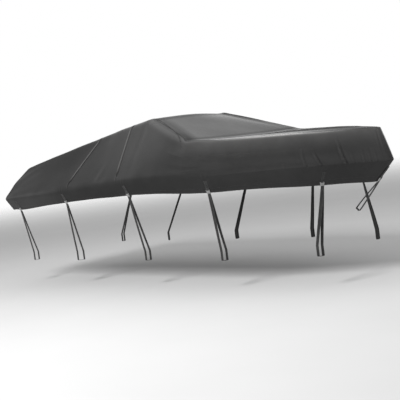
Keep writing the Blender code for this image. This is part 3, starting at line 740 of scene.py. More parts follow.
def make_webbing():
    made, shader, paint = new_material("webbing", specular_ior_level=0.45, sheen_weight=0.08,
                                       sheen_roughness=0.5)
    place = paint.node("ShaderNodeTexCoord", out="Object")
    on_cloth = paint.node("ShaderNodeUVMap", {"uv_map": "cloth"})
    across, along = on_cloth.axis(0), on_cloth.axis(1)
    bend = (across * (2 * math.pi / RIB_BEND)).sine() * 1.5
    ribs = (along * (2 * math.pi / RIB) + bend).sine()
    wear = place.noise(18.0, 4.0, 0.6)
    # A pale stripe along each edge of the webbing is a painted highlight.
    painted_edge_highlight = (across * across).between(0.0148 ** 2, 0.0172 ** 2)
    colour = (wear.between(0.40, 0.70) * 0.25 + painted_edge_highlight * 0.75).mix(grey(0.010),
                                                                      grey(0.070, 0.01))
    relief = ribs * 0.00022 + place.noise(300.0, 2) * 0.00010
    plug(shader, base_color=colour, roughness=0.55 + 0.15 * wear, normal=relief.bump(0.7))
    return made


def make_thread():
    made, shader, paint = new_material("thread", specular_ior_level=0.5, sheen_weight=0.15,
                                       sheen_roughness=0.4)
    place = paint.node("ShaderNodeTexCoord", out="Object")
    tone = place.noise(25.0, 2.0)
    plug(shader, base_color=tone.mix(grey(0.030), grey(0.060, 0.01)),
         roughness=0.42 + 0.15 * tone)
    return made


def make_plastic():
    made, shader, paint = new_material("buckle_plastic", specular_ior_level=0.6,
                                       coat_roughness=0.25)
    place = paint.node("ShaderNodeTexCoord", out="Object")
    scuffs = place.noise(160.0, 4.0, 0.65)
    grain = place.noise(1400.0, 2.0)
    relief = grain * 0.00006 + scuffs * 0.0001
    # The buckle's pale grey colour is a painted highlight; the scuffs only vary it.
    plug(shader, base_color=scuffs.between(0.45, 0.75).mix(grey(0.220), grey(0.450, 0.01)),
         roughness=0.20 + 0.20 * scuffs, normal=relief.bump(0.5))
    return made


webbing, thread, plastic = make_webbing(), make_thread(), make_plastic()
print("finishes:", [m.name for m in (canvas, webbing, thread, plastic)])

# %% [markdown]
# ## Sewing the panels
# The cover is not one cloth. A maker cuts a long top, three panels for each side and one for
# the stern, and joins them at the shoulder and at the welts. Each panel here is a closed
# sheet: its outer face is a patch of the grid, its inner face lies one thickness further in,
# and a narrow wall closes the edge. Solidify would do the same, but on its own it doesn't
# know that the next panel goes on, and would turn the edge.

# %% A closed sheet from a patch of the grid
CLOTH = 0.0016
SEAM_GAP = 0.0003
# How much of the coating still shines, by distance from the stern: on the skirt, on the side,
# on the strip of deck beside its edge, and on the rest of the top.
GLOSS_AT = (0.0, 0.8, 1.6, 2.3, 2.95, 3.5, 3.85, 4.35, 4.65, 4.90, 5.10, 5.35, 5.65, 5.968)
SKIRT_GLOSS = (.40, .35, .12, .05, .00, .05, .15, .25, .30, .35, .35, .35, .35, .35)
SIDE_GLOSS = (.22, .18, .38, .50, .70, .55, .42, .32, .30, .30, .35, .45, .55, .55)
EDGE_GLOSS = (.00, .00, .15, .40, .60, .40, .15, .90, 1.0, 1.0, 1.0, .80, .30, .10)
TOP_GLOSS = (.00, .00, .00, .05, .85, .90, .75, .15, .05, .00, .00, .00, .00, .00)
# How strong the painted highlight along the deck's edge is, by distance from the stern, and how
# far below zero the painted shade on the upper aft side may take the wear value.
HIGHLIGHT_AT = (3.95, 4.15, 4.40, 4.65, 4.85, 5.05, 5.25, 5.45, 5.65, 5.90)
EDGE_HIGHLIGHT = (.00, .05, .28, .70, 1.0, 1.0, .65, .35, .08, .00)
AFT_PAINTED_SHADE = 0.14


def upper_aft():
    """1 on the upper half of the side towards the stern, which is painted darker as painted
    shade, and whose coating shines less.
    """
    return (1 - smooth_step(1.0, 2.3, columns))[:, None] * smooth_step(0.20, 0.60, rise)


def wear_and_painted_light_map():
    """Pale wear on the gunwale fold, the hem and the ridge, a painted highlight along the
    shoulders, painted light high on the side, and painted shade on its upper aft part.
    """
    bow_half = smooth_step(3.6, 4.6, columns)[:, None]
    half = (0.01 + 0.05 * bow_half) * np.exp(-(rise / 0.010) ** 2)
    # A pale line along the shoulder, a painted highlight.
    half += 0.20 * np.exp(-(over_seam / 0.020) ** 2)
    half += 0.35 * np.exp(-(girth / 0.010) ** 2)
    # Where the deck's edge is sharpest, the side just under it is painted paler: a painted
    # highlight on the edge, and painted light where the side rolls under it.
    below = np.minimum(over_seam, 0)
    half += (0.9 * np.exp(below / 0.05) + 1.0 * np.exp(-(below / 0.16) ** 2)) \
        * smooth_step(0.03, 0.01, over_seam) * smooth_step(3.5, 4.3, columns)[:, None]
    # Beside the ridge the upper side is painted paler, painted light where it turns up towards
    # the top.
    half += 0.30 * np.exp(-((columns[:, None] - 2.95) / 0.75) ** 2) \
        * smooth_step(0.02, 0.45, rise) * smooth_step(-0.15, 0.10, -over_seam)
    # The upper aft side is painted darker than the rest, painted shade.
    half -= AFT_PAINTED_SHADE * upper_aft()
    full = whole(half, half) + 0.30 * np.exp(-(grid[..., 0] / 0.030) ** 2) * both
    return np.clip(full, -AFT_PAINTED_SHADE, 2)


def bare_map():
    """The painted highlight: a pale line along the deck's edge, just inboard of the seam."""
    half = tight_curve(HIGHLIGHT_AT, EDGE_HIGHLIGHT, columns)[:, None] \
        * np.exp(-((over_seam - 0.006) / 0.014) ** 2)
    return whole(half, half)


def gloss_map():
    """The coating keeps its shine where the cloth is tight and nothing rubs on it."""
    skirt, side, edge, top = (tight_curve(GLOSS_AT, values, columns)[:, None] for values in
                              (SKIRT_GLOSS, SIDE_GLOSS, EDGE_GLOSS, TOP_GLOSS))
    halves = []
    for edge_here in (edge, np.where(columns[:, None] < 3.9, top, edge)):
        half = skirt + (side - skirt) * smooth_step(-0.01, 0.05, rise)
        half = half * (1 - 0.8 * upper_aft())
        half = half + (edge_here - half) * smooth_step(-0.030, 0.004, over_seam)
        halves.append(half + (top - half) * smooth_step(0.06, 0.26, over_seam))
    return whole(*halves)


wear_and_painted_light_on_grid, gloss_on_grid, bare_on_grid = wear_and_painted_light_map(), gloss_map(), bare_map()
cloth_uv = np.stack([run[:, None] + 0 * grid[..., 0],
                     whole(girth, 2 * girth[:, -1:] - girth)], -1)


def pull_in(sheet, borders, amount):
    """Draw named borders of a patch in by half a seam's gap."""
    for axis, end in borders:
        view = sheet if axis == "column" else sheet.swapaxes(0, 1)
        edge, beside = (0, 1) if end == "first" else (-1, -2)
        view[edge] = view[edge] + unit(view[beside] - view[edge]) * amount


def make_mesh(name, points, faces, material, uv, **fields):
    """A smooth piece from points and faces, with a UV map and a value of each field a point."""
    mesh = bpy.data.meshes.new(name)
    mesh.from_pydata(points.tolist(), [], faces)
    index = np.empty(len(mesh.loops), dtype=np.int32)
    mesh.loops.foreach_get("vertex_index", index)
    mesh.uv_layers.new(name="cloth").data.foreach_set(
        "uv", uv[index].astype(np.float32).ravel())
    for key, values in fields.items():
        mesh.attributes.new(key, "FLOAT", "POINT").data.foreach_set(
            "value", values.astype(np.float32))
    tidy = bmesh.new()
    tidy.from_mesh(mesh)
    bmesh.ops.remove_doubles(tidy, verts=tidy.verts, dist=1e-5)
    bmesh.ops.dissolve_degenerate(tidy, edges=tidy.edges, dist=1e-6)
    bmesh.ops.recalc_face_normals(tidy, faces=tidy.faces)
    tidy.to_mesh(mesh)
    tidy.free()
    mesh.materials.append(material)
    mesh.polygons.foreach_set("use_smooth", [True] * len(mesh.polygons))
    mesh.set_sharp_from_angle(angle=math.radians(55))
    return in_scene(name, mesh)


def quads(index):
    """Four-cornered faces between the neighbours in a grid of point numbers."""
    return np.stack([index[:-1, :-1], index[1:, :-1], index[1:, 1:], index[:-1, 1:]],
                    -1).reshape(-1, 4)


def closed_sheet(name, outer, facing, thickness, material, uv, borders=(), **fields):
    """A sheet with an outer and an inner face and a wall round its edge."""
    outer = outer.copy()
    inner = outer - thickness * facing
    for face in (outer, inner):
        pull_in(face, borders, 0.5 * SEAM_GAP)
    across, upward = outer.shape[:2]
    count = across * upward
    index = np.arange(count).reshape(across, upward)
    front = quads(index)
    rim = np.concatenate([index[:, 0], index[-1, 1:], index[-2::-1, -1], index[0, -2:0:-1]])
    after = np.roll(rim, -1)
    wall = np.stack([rim, rim + count, after + count, after], -1)
    faces = np.concatenate([front, front[:, ::-1] + count, wall])
    points = np.concatenate([outer.reshape(-1, 3), inner.reshape(-1, 3)])
    uv = np.concatenate([uv.reshape(-1, 2)] * 2)
    fields = {key: np.concatenate([values.ravel()] * 2) for key, values in fields.items()}
    return make_mesh(name, points, faces.tolist(), material, uv, **fields)


def area_of(points):
    """Area of a patch, from the cross products of its cells."""
    a, b = np.diff(points, axis=0)[:, :-1], np.diff(points, axis=1)[:-1]
    return float(np.linalg.norm(np.cross(a, b), axis=-1).sum())


# %% The stern panel's own grid
STERN_BELLY = 0.015
# Folds that cross the stern's fold line: distance from the centreline, lean and height.
STERN_FOLDS = ((-0.62, 0.10, 0.0050), (-0.20, -0.06, 0.0035), (0.31, 0.08, 0.0045),
               (0.74, -0.12, 0.0055))


def facing_of(points):
    """Directions out of the stern panel."""
    return unit(np.cross(np.gradient(points, axis=1), np.gradient(points, axis=0)))


def stern_patch():
    """Rows across the stern, between the ends of the two sides and under the top's end."""
    top = grid[0][SEAM:LAST - SEAM + 1]
    shares = top[:, 1] / top[-1][1]
    level = np.arange(SEAM + 1)
    height = (girth[0, :SEAM + 1] / girth[0, SEAM])[None, :]
    edge = grid[0][:SEAM + 1]
    share = shares[:, None]
    out = STERN_BELLY * (1 - share ** 2) * np.sin(math.pi * (0.15 + 0.75 * height))
    mix = 0.5 * (1 - share)
    port = grid[0][LAST - level] * [1, -1, 1]
    side = edge[None] * mix[..., None] + port[None] * (1 - mix[..., None])
    rise_here = (top[:, 2] - top[0][2])[:, None] * height ** 3
    points = np.stack([side[..., 0] - out * (1 - height ** 6), -side[..., 1] * share,
                       side[..., 2] + rise_here], -1)
    points[:, SEAM] = top
    y = points[..., 1]
    from_hem = np.broadcast_to(girth[0, :SEAM + 1][None, :], points.shape[:2])
    free = np.clip(1 - share ** 2, 0, 1) ** 0.5 * np.clip(1 - height ** 8, 0, 1)
    fold = girth[0, FOLD]
    push = 0.0025 * soft_waves(y, from_hem, 0.6, 51)
    push += hem_lift(from_hem, soft_waves(y, from_hem, 0.036, 52, 5))
    for at, lean, fold_height in STERN_FOLDS:
        off = y - at - lean * (from_hem - fold)
        push += fold_height * np.exp(-(off / 0.022) ** 2) \
            * np.exp(-((from_hem - fold) / 0.16) ** 2)
    points = points + facing_of(points) * (push * free)[..., None]
    wear = 0.1 * np.exp(-((from_hem - fold) / 0.014) ** 2) \
        + 0.35 * np.exp(-(from_hem / 0.010) ** 2)
    return points, facing_of(points), wear, np.stack([y, from_hem], -1)


stern, stern_normals, stern_wear, stern_uv = stern_patch()
print(f"stern panel {area_of(stern):.2f} square metres")

def column_at(distance):
    return int(np.argmin(np.abs(columns - distance)))


def flat_size(points):
    """The rectangle that a panel is cut from: its longest run by its longest girth."""
    length = np.linalg.norm(np.diff(points, axis=0), axis=2).sum(axis=0).max()
    width = np.linalg.norm(np.diff(points, axis=1), axis=2).sum(axis=1).max()
    return float(width), float(length)


def cut_panel(name, patch, borders, node):
    """A panel from a patch of the grid, kept with the solid that it takes the place of."""
    piece = closed_sheet(name, grid[patch], normals[patch], CLOTH, canvas, cloth_uv[patch],
                         borders, wear=wear_and_painted_light_on_grid[patch], gloss=gloss_on_grid[patch],
                         bare=bare_on_grid[patch])
    pieces_to_declare.append((piece, grid[patch], node))


pieces_to_declare = []
cuts = [0.0] + [at for at, _ in WELTS] + [NOSE_X]
for name, low, high in zip(("aft", "mid", "fore"), cuts, cuts[1:]):
    for side, rows in (("starboard", slice(0, SEAM + 1)), ("port", slice(LAST - SEAM, None))):
        patch = (slice(column_at(low), column_at(high) + 1), rows)
        seam = "last" if side == "starboard" else "first"
        cut_panel(f"cloth_{name}_{side}", patch,
                  [("column", "first"), ("column", "last"), ("row", seam)],
                  f"side_{name}_{side}")

cut_panel("cloth_top", (slice(None), slice(SEAM, LAST - SEAM + 1)),
          [("column", "first"), ("row", "first"), ("row", "last")], "top_panel")
piece = closed_sheet("cloth_stern", stern, stern_normals, CLOTH, canvas, stern_uv,
                     [("column", "first"), ("column", "last"), ("row", "last")],
                     wear=stern_wear)
pieces_to_declare.append((piece, stern, "stern_panel"))
for piece, outer, node in pieces_to_declare:
    print(piece.name, len(piece.data.polygons), "faces")

# %% [markdown]
# ## Seam bands
# Where two panels meet, the edges are folded into each other and sewn down flat, which shows
# as a low band along the seam. Sweeping a profile along a curve would twist it, so the band
# takes its direction from the cloth at every step: each point has the cloth's normal, and
# the band lies across it.

# %% Lines on the cloth
def blend(field, column, row):
    """A field between its own points, at fractional columns and rows."""
    i = np.clip(column.astype(int), 0, field.shape[0] - 2)
    j = np.clip(row.astype(int), 0, field.shape[1] - 2)
    s, t = (column - i)[..., None], (row - j)[..., None]
    return ((1 - s) * (1 - t) * field[i, j] + s * (1 - t) * field[i + 1, j]
            + (1 - s) * t * field[i, j + 1] + s * t * field[i + 1, j + 1])


def on_grid(column, row):
    """Points and normals of the cloth at fractional columns and rows."""
    column, row = np.broadcast_arrays(np.asarray(column, float), np.asarray(row, float))
    return blend(grid, column, row), unit(blend(normals, column, row))


def on_side(rows, port):
    """Rows counted from the starboard hem, or the same rows on the port side."""
    return LAST - rows if port else rows


def row_for(column, height, port):
    """The row at a height above the fold, on one side."""
    i = int(round(float(column)))
    return on_side(np.interp(height, rise[i], np.arange(CENTRE + 1)), port)


def along_line(at, length, vectors):
    """Vectors given at some lengths of a line, read at other lengths."""
    return np.stack([np.interp(at, length, vectors[:, k]) for k in range(3)], -1)


def evenly(points, facing, pitch):
    """The same line with points at an even pitch, and its direction at each."""
    length = lengths_along(points)
    at = np.linspace(0.0, length[-1], max(3, int(length[-1] / pitch) + 1))
    spots = along_line(at, length, points)
    return spots, unit(along_line(at, length, facing)), unit(np.gradient(spots, axis=0))


def index_of(distance):
    return np.interp(distance, columns, np.arange(len(columns)))


seam_lines = []
every_column = np.arange(len(columns) - 3)
for port in (False, True):
    seam_lines.append(on_grid(every_column, on_side(SEAM, port)))
    seam_lines.append(on_grid(0.0, on_side(np.arange(SEAM), port)))
    at = np.linspace(DART[0][0], DART[-1][0], 60)
    height = tight_curve(*zip(*DART), at)
    place = index_of(at)
    rows = [row_for(p, seam_rise[int(round(float(p)))] + h, port)
            for p, h in zip(place, height)]
    seam_lines.append(on_grid(place, np.array(rows)))
stern_top = (stern[:, SEAM], unit(stern_normals[:, SEAM] + normals[0, SEAM:LAST - SEAM + 1]))
seam_lines.append(stern_top)
print(len(seam_lines), "seams with bands")

# %% The bands
BAND_WIDTH, BAND_STEP = 0.013, 0.018
BAND_PROFILE = ((-0.50, -0.0006), (-0.46, 0.0008), (-0.20, 0.0011), (0.0, 0.0007),
                (0.20, 0.0011), (0.46, 0.0008), (0.50, -0.0006))


def band_mesh(lines, width, profile, taper=0.0):
    """Bands that lie along lines on the cloth: points, faces, UV map, and for each point its
    distance from the nearer end."""
    points, faces, uv, from_end, first = [], [], [], [], 0
    for spots, facing in lines:
        spots, ups, along = evenly(spots, facing, BAND_STEP)
        across = unit(np.cross(ups, along))
        length = lengths_along(spots)
        size_here = np.ones_like(length)
        end = np.minimum(length, length[-1] - length)
        if taper:
            size_here = 0.2 + 0.8 * smooth_step(0.0, taper, end)
        from_end.append(np.repeat(end, len(profile)))
        ring = np.stack([spots + across * a * width * size_here[:, None]
                         + ups * h * size_here[:, None] for a, h in profile], axis=1)
        count, size = ring.shape[:2]
        points.append(ring.reshape(-1, 3))
        uv.append(np.stack([np.repeat(length, size),
                            np.tile([a * width for a, _ in profile], count)], -1))
        index = first + np.arange(count * size).reshape(count, size)
        faces += quads(np.pad(index, ((0, 0), (0, 1)), mode="wrap")).tolist()
        faces += [index[0, ::-1].tolist(), index[-1].tolist()]
        first += count * size
    return np.concatenate(points), faces, np.concatenate(uv), np.concatenate(from_end)


# The crest of each welt is one rounded bead, which hides the slit between its panels.
BEAD_WIDTH = 0.0250
BEAD_PROFILE = ((-0.50, -0.0058), (-0.46, -0.0024), (-0.30, 0.0008), (0.0, 0.0021),
                (0.30, 0.0008), (0.46, -0.0024), (0.50, -0.0058))
welt_lines = []
for port in (False, True):
    for at, _ in WELTS:
        rows = on_side(np.arange(FOLD + 3, SEAM - 1), port)
        welt_lines.append(on_grid(index_of(at), rows))

points, faces, uv, _ = band_mesh(seam_lines, BAND_WIDTH, BAND_PROFILE)
# The bands are a little paler than the cloth, wear on a seam, and along the shoulder also a
# painted highlight, stronger along the deck's edge.
seam_bands = make_mesh("seam_bands", points, faces, canvas, uv,
                       wear=np.full(len(points), 0.25),
                       bare=tight_curve(HIGHLIGHT_AT, EDGE_HIGHLIGHT, points[:, 0] + RIDGE_FROM_STERN))
points, faces, uv, from_end = band_mesh(welt_lines, BEAD_WIDTH, BEAD_PROFILE, taper=0.03)
shown = smooth_step(0.0, 0.14, from_end)
# The beads are painted pale, a painted highlight along each welt's crest.
welt_beads = make_mesh("welt_beads", points, faces, canvas, uv,
                       wear=1.25 * shown, bare=0.05 * shown)
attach(welt_beads, "root")
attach(seam_bands, "root")
print("bands:", len(seam_bands.data.polygons), "faces")

# %% [markdown]
# ## Tie-downs
# Each tie-down starts as a tab of webbing sewn on the skirt. A side-release buckle hangs
# from it at the hem, and a loop of webbing runs from the buckle to what the cover is tied
# to. Flat webbing is modelled directly, as a ribbon that turns with its path, because cloth
# simulation or a remesh would erase its edges.

# %% Where the tie-downs hang
WEB_WIDTH, WEB = 0.038, 0.0018
TAB_SHARES = (0.19, 0.68)
# The middle of the webbing lies half its thickness outside what it turns round.
HALF_WEB = 0.001
BOW_PART, BOW_TAB_SHARE = 5.0, 0.78
BUCKLE_LENGTH, BUCKLE_DEPTH, BUCKLE_STANDOFF, BUCKLE_GAP = 0.064, 0.010, 0.0009, 0.0004
FOOT_LOW, FOOT_HIGH, FOOT_DEPTH, FOOT_CORNER = 0.350, 0.470, 0.060, 0.008
BOW_STRAP_LENGTH, BOW_LOOP_DEPTH, BOW_LEAD = 0.42, 0.050, 0.0006


def plain_skirt(distance, share):
    """A point of the skirt before its folds, as the solid has it."""
    at = np.array([[distance]])
    hem, fold, _, _ = lines_at(at, 0 * at)
    hem[..., 2] += hem_rise(at)
    return (hem + (fold - hem) * share)[0, 0]


def hang(name, low_left, low_right, high_left, high_right):
    """A tie-down's own axes: across the webbing, down along it and out of the cloth."""
    middle = 0.5 * (low_left + low_right)
    wide = unit(low_right - low_left)
    out = unit(np.cross(unit(middle - 0.5 * (high_left + high_right)), wide))
    down = np.cross(wide, out)
    buckle_top = middle + down * BUCKLE_GAP
    axis = BUCKLE_STANDOFF + BUCKLE_DEPTH / 2
    return {"name": name, "wide": wide, "down": down, "out": out,
            "buckle": buckle_top + out * BUCKLE_STANDOFF,
            "strap": buckle_top + down * BUCKLE_LENGTH + out * axis}


def foot_path(high_out, low_out, low_in, high_in):
    """The foot of a loop, with two round corners."""
    path = [high_out]
    turns = np.linspace(0.0, 1.0, 5)
    for before, bend, after in ((high_out, low_out, low_in), (low_out, low_in, high_in)):
        start = bend + unit(before - bend) * FOOT_CORNER
        end = bend + unit(after - bend) * FOOT_CORNER
        path += list(corner(start[None], bend[None], end[None], turns))
    return path + [high_in]


tie_downs = []
for name, at, foot_x, foot_w, splay in TIES:
    half = 0.5 * WEB_WIDTH * (1.0 if at < BOW_PART else BOW_TAB_SHARE)
    spots = [plain_skirt(at + side * half, share) for share in TAB_SHARES for side in (-1, 1)]
    for side, mirror in (("starboard", 1.0), ("port", -1.0)):
        flip = np.array([1.0, mirror, 1.0])
        low_left, low_right, high_left, high_right = [row_frame(p * flip) for p in spots]
        if side == "port":
            low_left, low_right = low_right, low_left
            high_left, high_right = high_right, high_left
        tie = hang(f"{side}_{name}", low_left, low_right, high_left, high_right)
        outer = -mirror * (foot_w + HALF_WEB)
        inner = -mirror * (foot_w - FOOT_DEPTH - HALF_WEB)
        low = FOOT_LOW - HALF_WEB
        ends = [(foot_x, outer, FOOT_HIGH), (foot_x, outer, low),
                (foot_x + splay, inner, low), (foot_x + splay, inner, FOOT_HIGH)]
        tie["foot"] = foot_path(*[row_frame(np.array(p)) for p in ends])
        tie["foot_wide"] = np.array([mirror, 0.0, 0.0])
        tie["tab"] = (at, half, side == "port")
        tie_downs.append(tie)

stem = [row_frame(plain_skirt(NOSE_X, share)) for share in TAB_SHARES]
down = unit(row_frame(plain_skirt(NOSE_X, 0.0)) - stem[0])
wide = np.array([0.0, 1.0, 0.0])
half = 0.5 * WEB_WIDTH * wide
lead = np.cross(down, wide) * BOW_LEAD
bow = hang("bow", stem[0] - half + lead, stem[0] + half + lead, stem[1] - half + lead,
           stem[1] + half + lead)
reach, spread = down * (BOW_STRAP_LENGTH - FOOT_DEPTH), bow["out"] * BOW_LOOP_DEPTH / 2
full = down * BOW_STRAP_LENGTH
bow["foot"] = foot_path(*[bow["strap"] + step for step in
                          (reach + spread, full + spread, full - spread, reach - spread)])
bow["foot_wide"] = wide
bow["tab"] = None
tie_downs.append(bow)
print(len(tie_downs), "tie-downs")

# %% Loops of webbing
STRAND_STEPS, MOST_SLACK, SWAY = 14, 0.0025, 0.001
WEB_PROFILE = ((-0.50, 0.35), (-0.47, 0.50), (-0.25, 0.46), (0.0, 0.44), (0.25, 0.46),
               (0.47, 0.50), (0.50, 0.35), (0.50, -0.35), (0.47, -0.50), (0.25, -0.46),
               (0.0, -0.44), (-0.25, -0.46), (-0.47, -0.50), (-0.50, -0.35))


def loop_path(tie, seed):
    """Middle line of a loop and its direction across, from the buckle round the foot."""
    wide, foot, out = tie["wide"], tie["foot"], tie["out"]

    def at_buckle(below, front):
        return (tie["buckle"] + tie["down"] * below + out * front)[None]

    slot, bar_end, middle, front, back = 0.0565, 0.0600, 0.0050, 0.0088, 0.0012
    outer_top, inner_top = at_buckle(bar_end, front)[0], at_buckle(bar_end, back)[0]
    turn = np.linspace(0.0, 1.0, 6)
    path = list(corner(at_buckle(slot, middle), at_buckle(slot, front), outer_top[None], turn))
    widths = [wide] * len(turn)
    shares = np.linspace(0.0, 1.0, STRAND_STEPS + 1)[1:-1]
    chance = np.random.default_rng(seed)
    strands = ((outer_top, foot[0], shares), (inner_top, foot[-1], shares[::-1]))
    for number, (start, end, order) in enumerate(strands):
        if number:
            path += foot
            widths += [tie["foot_wide"]] * len(foot)
        bow_out = chance.uniform(-MOST_SLACK, MOST_SLACK)
        for share in order:
            slack = math.sin(math.pi * share) * bow_out
            path.append(start + (end - start) * share + out * slack
                        + unit(tie["foot_wide"]) * math.sin(2 * math.pi * share) * SWAY)
            widths.append(unit(wide * (1 - share) + tie["foot_wide"] * share))
    path += list(corner(inner_top[None], at_buckle(slot, back), at_buckle(slot, middle),
                        turn))[:-1]
    widths += [wide] * (len(turn) - 1)
    return np.array(path), np.array(widths)


def ribbon(name, path, widths):
    """A flat ribbon of webbing round a closed path."""
    count, size = len(path), len(WEB_PROFILE)
    run_dir = unit(np.roll(path, -1, axis=0) - np.roll(path, 1, axis=0))
    thick = unit(np.cross(run_dir, widths))
    rings = np.stack([path + widths * a * WEB_WIDTH + thick * b * WEB
                      for a, b in WEB_PROFILE], axis=1)
    index = np.arange(count * size).reshape(count, size)
    faces = quads(np.pad(index, ((0, 1), (0, 1)), mode="wrap"))
    length = lengths_along(path)
    uv = np.stack([np.tile([a * WEB_WIDTH for a, _ in WEB_PROFILE], count),
                   np.repeat(length, size)], -1)
    made = make_mesh(name, rings.reshape(-1, 3), faces.tolist(), webbing, uv)
    return made, float(length[-1])


loop_lengths = {}
for seed, tie in enumerate(tie_downs):
    piece, length = ribbon(f"loop_{tie['name']}", *loop_path(tie, 70 + seed))
    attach(piece, "root")
    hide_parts(f"strap_{tie['name']}")
    loop_lengths[tie["name"]] = round(length, 2)
print("loops, round their middle line:", loop_lengths)

# %% [markdown]
# ## Tabs
# A tab is a short strip of the same webbing. It is sewn flat on the skirt with a box and a
# cross of stitches, and its free end turns round the buckle's upper bar. Its upper part
# follows the cloth under it, so it is read off the grid, and its turned end is a short path
# in the tie-down's own axes.

# %% The tabs
TAB_COLUMNS, TAB_ROWS, TAB_TURN_SHARE, TAB_CLEAR = 9, 12, 0.07, 0.0004
# Below the tab's lower edge: distance down and distance out from the buckle's back.
TAB_TURN = ((-0.003, 0.0004), (0.000, 0.0008), (0.003, 0.0014), (0.0056, 0.0024),
            (0.0068, 0.0048), (0.0056, 0.0078), (0.003, 0.0088), (0.000, 0.0080),
            (-0.0035, 0.0058), (-0.008, 0.0034))


def tab_heights(skirt):
    """Heights over the hem of a tab's rows, on a skirt of a given length."""
    return np.linspace(TAB_SHARES[0] + TAB_TURN_SHARE, TAB_SHARES[1], TAB_ROWS) * skirt


def on_skirt(tie):
    """The upper part of a tab on the side, and how far its columns lie off its middle."""
    at, half, port = tie["tab"]
    offsets = np.linspace(-1.0, 1.0, TAB_COLUMNS) * half
    place = index_of(at + (-offsets if port else offsets))
    middle_column = int(round(float(index_of(at))))
    fold_height = girth[middle_column, FOLD]
    rows = np.array([row_for(middle_column, height, port)
                     for height in tab_heights(fold_height) - fold_height])
    spots, facing = on_grid(place[:, None], rows[None, :])
    if port:
        facing = facing * np.sign((facing @ tie["out"]))[..., None]
    return spots + facing * (WEB / 2 + TAB_CLEAR), offsets


def on_stem(tie):
    """The same for the bow's tab, a plain strip down the stem."""
    half = 0.5 * WEB_WIDTH
    offsets = np.linspace(-1.0, 1.0, TAB_COLUMNS) * half
    rows = np.interp(tab_heights(girth[-1, FOLD]), girth[-1], np.arange(CENTRE + 1))
    spots, _ = on_grid(len(columns) - 1.0, rows)
    return spots[None] + tie["wide"] * offsets[:, None, None] + tie["out"] * WEB, offsets


def tab_piece(tie):
    """A tab as a closed sheet, and its outer face for the stitches."""
    upper, offsets = on_skirt(tie) if tie["tab"] else on_stem(tie)
    turn = np.array(TAB_TURN)
    lower = tie["buckle"] + tie["wide"] * offsets[:, None, None] \
        + tie["down"] * turn[None, :, :1] + tie["out"] * turn[None, :, 1:]
    path = np.concatenate([lower, upper], axis=1)
    thick = unit(np.cross(unit(np.gradient(path, axis=1)), tie["wide"]))
    outer = path - thick * WEB / 2
    step = np.linalg.norm(np.diff(path, axis=1, prepend=path[:, :1]), axis=2)
    uv = np.stack([offsets[:, None] + 0 * path[..., 0], np.cumsum(step, axis=1)], -1)
    piece = closed_sheet(f"tab_sewn_{tie['name']}", outer, -thick, WEB, webbing, uv)
    return piece, outer[:, len(TAB_TURN):], -thick[:, len(TAB_TURN):]


tab_faces = []
for tie in tie_downs:
    piece, outer, facing = tab_piece(tie)
    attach(piece, "root")
    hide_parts(f"tab_{tie['name']}")
    tab_faces.append((outer, facing))
print(len(tab_faces), "tabs")

# %% [markdown]
# ## Things that repeat
# Thousands of stitches and eleven equal buckles shouldn't be copied by a loop. A mesh of
# bare points carries where each one goes and how it is turned, and a tree of geometry nodes
# puts one model on every point. The result is made into one plain mesh.

# %% Points with a direction, and the tree that fills them
def point_cloud(name, spots, ups, along):
    """A mesh of points with the attributes facing and along."""
    mesh = bpy.data.meshes.new(name)
    mesh.from_pydata(np.asarray(spots).tolist(), [], [])
    for key, values in (("facing", ups), ("along", along)):
        mesh.attributes.new(key, "FLOAT_VECTOR", "POINT").data.foreach_set(
            "vector", np.asarray(values, dtype=np.float32).ravel())
    return in_scene(name, mesh)


class Tree:
    """A geometry tree with named inputs."""

    def __init__(self, name, **inputs):
        self.group = bpy.data.node_groups.new(name, "GeometryNodeTree")
        self.ids = {}
        face = self.group.interface
        face.new_socket("Geometry", in_out="INPUT", socket_type="NodeSocketGeometry")
        for key, kind in inputs.items():
            self.ids[key] = face.new_socket(key, in_out="INPUT", socket_type=kind).identifier
        face.new_socket("Geometry", in_out="OUTPUT", socket_type="NodeSocketGeometry")
        start = self.group.nodes.new("NodeGroupInput")
        self.given = {socket.name: socket for socket in start.outputs}
        self.end = self.group.nodes.new("NodeGroupOutput")

    def add(self, kind, settings=None, out=0, **inputs):
        node = self.group.nodes.new(kind)
        for key, value in (settings or {}).items():
            setattr(node, key, value)
        for key, value in inputs.items():
            socket = node.inputs[key.replace("_", " ")]
            if isinstance(value, bpy.types.NodeSocket):
                self.group.links.new(value, socket)
            else:
                socket.default_value = value
        return node.outputs[out]

    def finish(self, geometry, material):
        real = self.add("GeometryNodeRealizeInstances", Geometry=geometry)
        smooth = self.add("GeometryNodeSetShadeSmooth", Geometry=real)
        painted = self.add("GeometryNodeSetMaterial", Geometry=smooth, Material=material)
        self.group.links.new(painted, self.end.inputs[0])

    def turned(self):
        """The rotation that each point's attributes ask for."""
        facing, along = (self.add("GeometryNodeInputNamedAttribute",
                                  {"data_type": "FLOAT_VECTOR"}, Name=name)
                         for name in ("facing", "along"))
        return self.add("FunctionNodeAxesToRotation", {"primary_axis": "Z",
                                                       "secondary_axis": "X"},
                        Primary_Axis=facing, Secondary_Axis=along)

    def run(self, cloud, name, **values):
        """Fill the points of a cloud and return the result as a plain piece."""
        modifier = cloud.modifiers.new(name, "NODES")
        modifier.node_group = self.group
        for key, value in values.items():
            modifier[self.ids[key]] = value
        bpy.context.view_layer.update()
        graph = bpy.context.evaluated_depsgraph_get()
        mesh = bpy.data.meshes.new_from_object(cloud.evaluated_get(graph))
        mesh.name = name
        bpy.data.objects.remove(cloud)
        return in_scene(name, mesh)


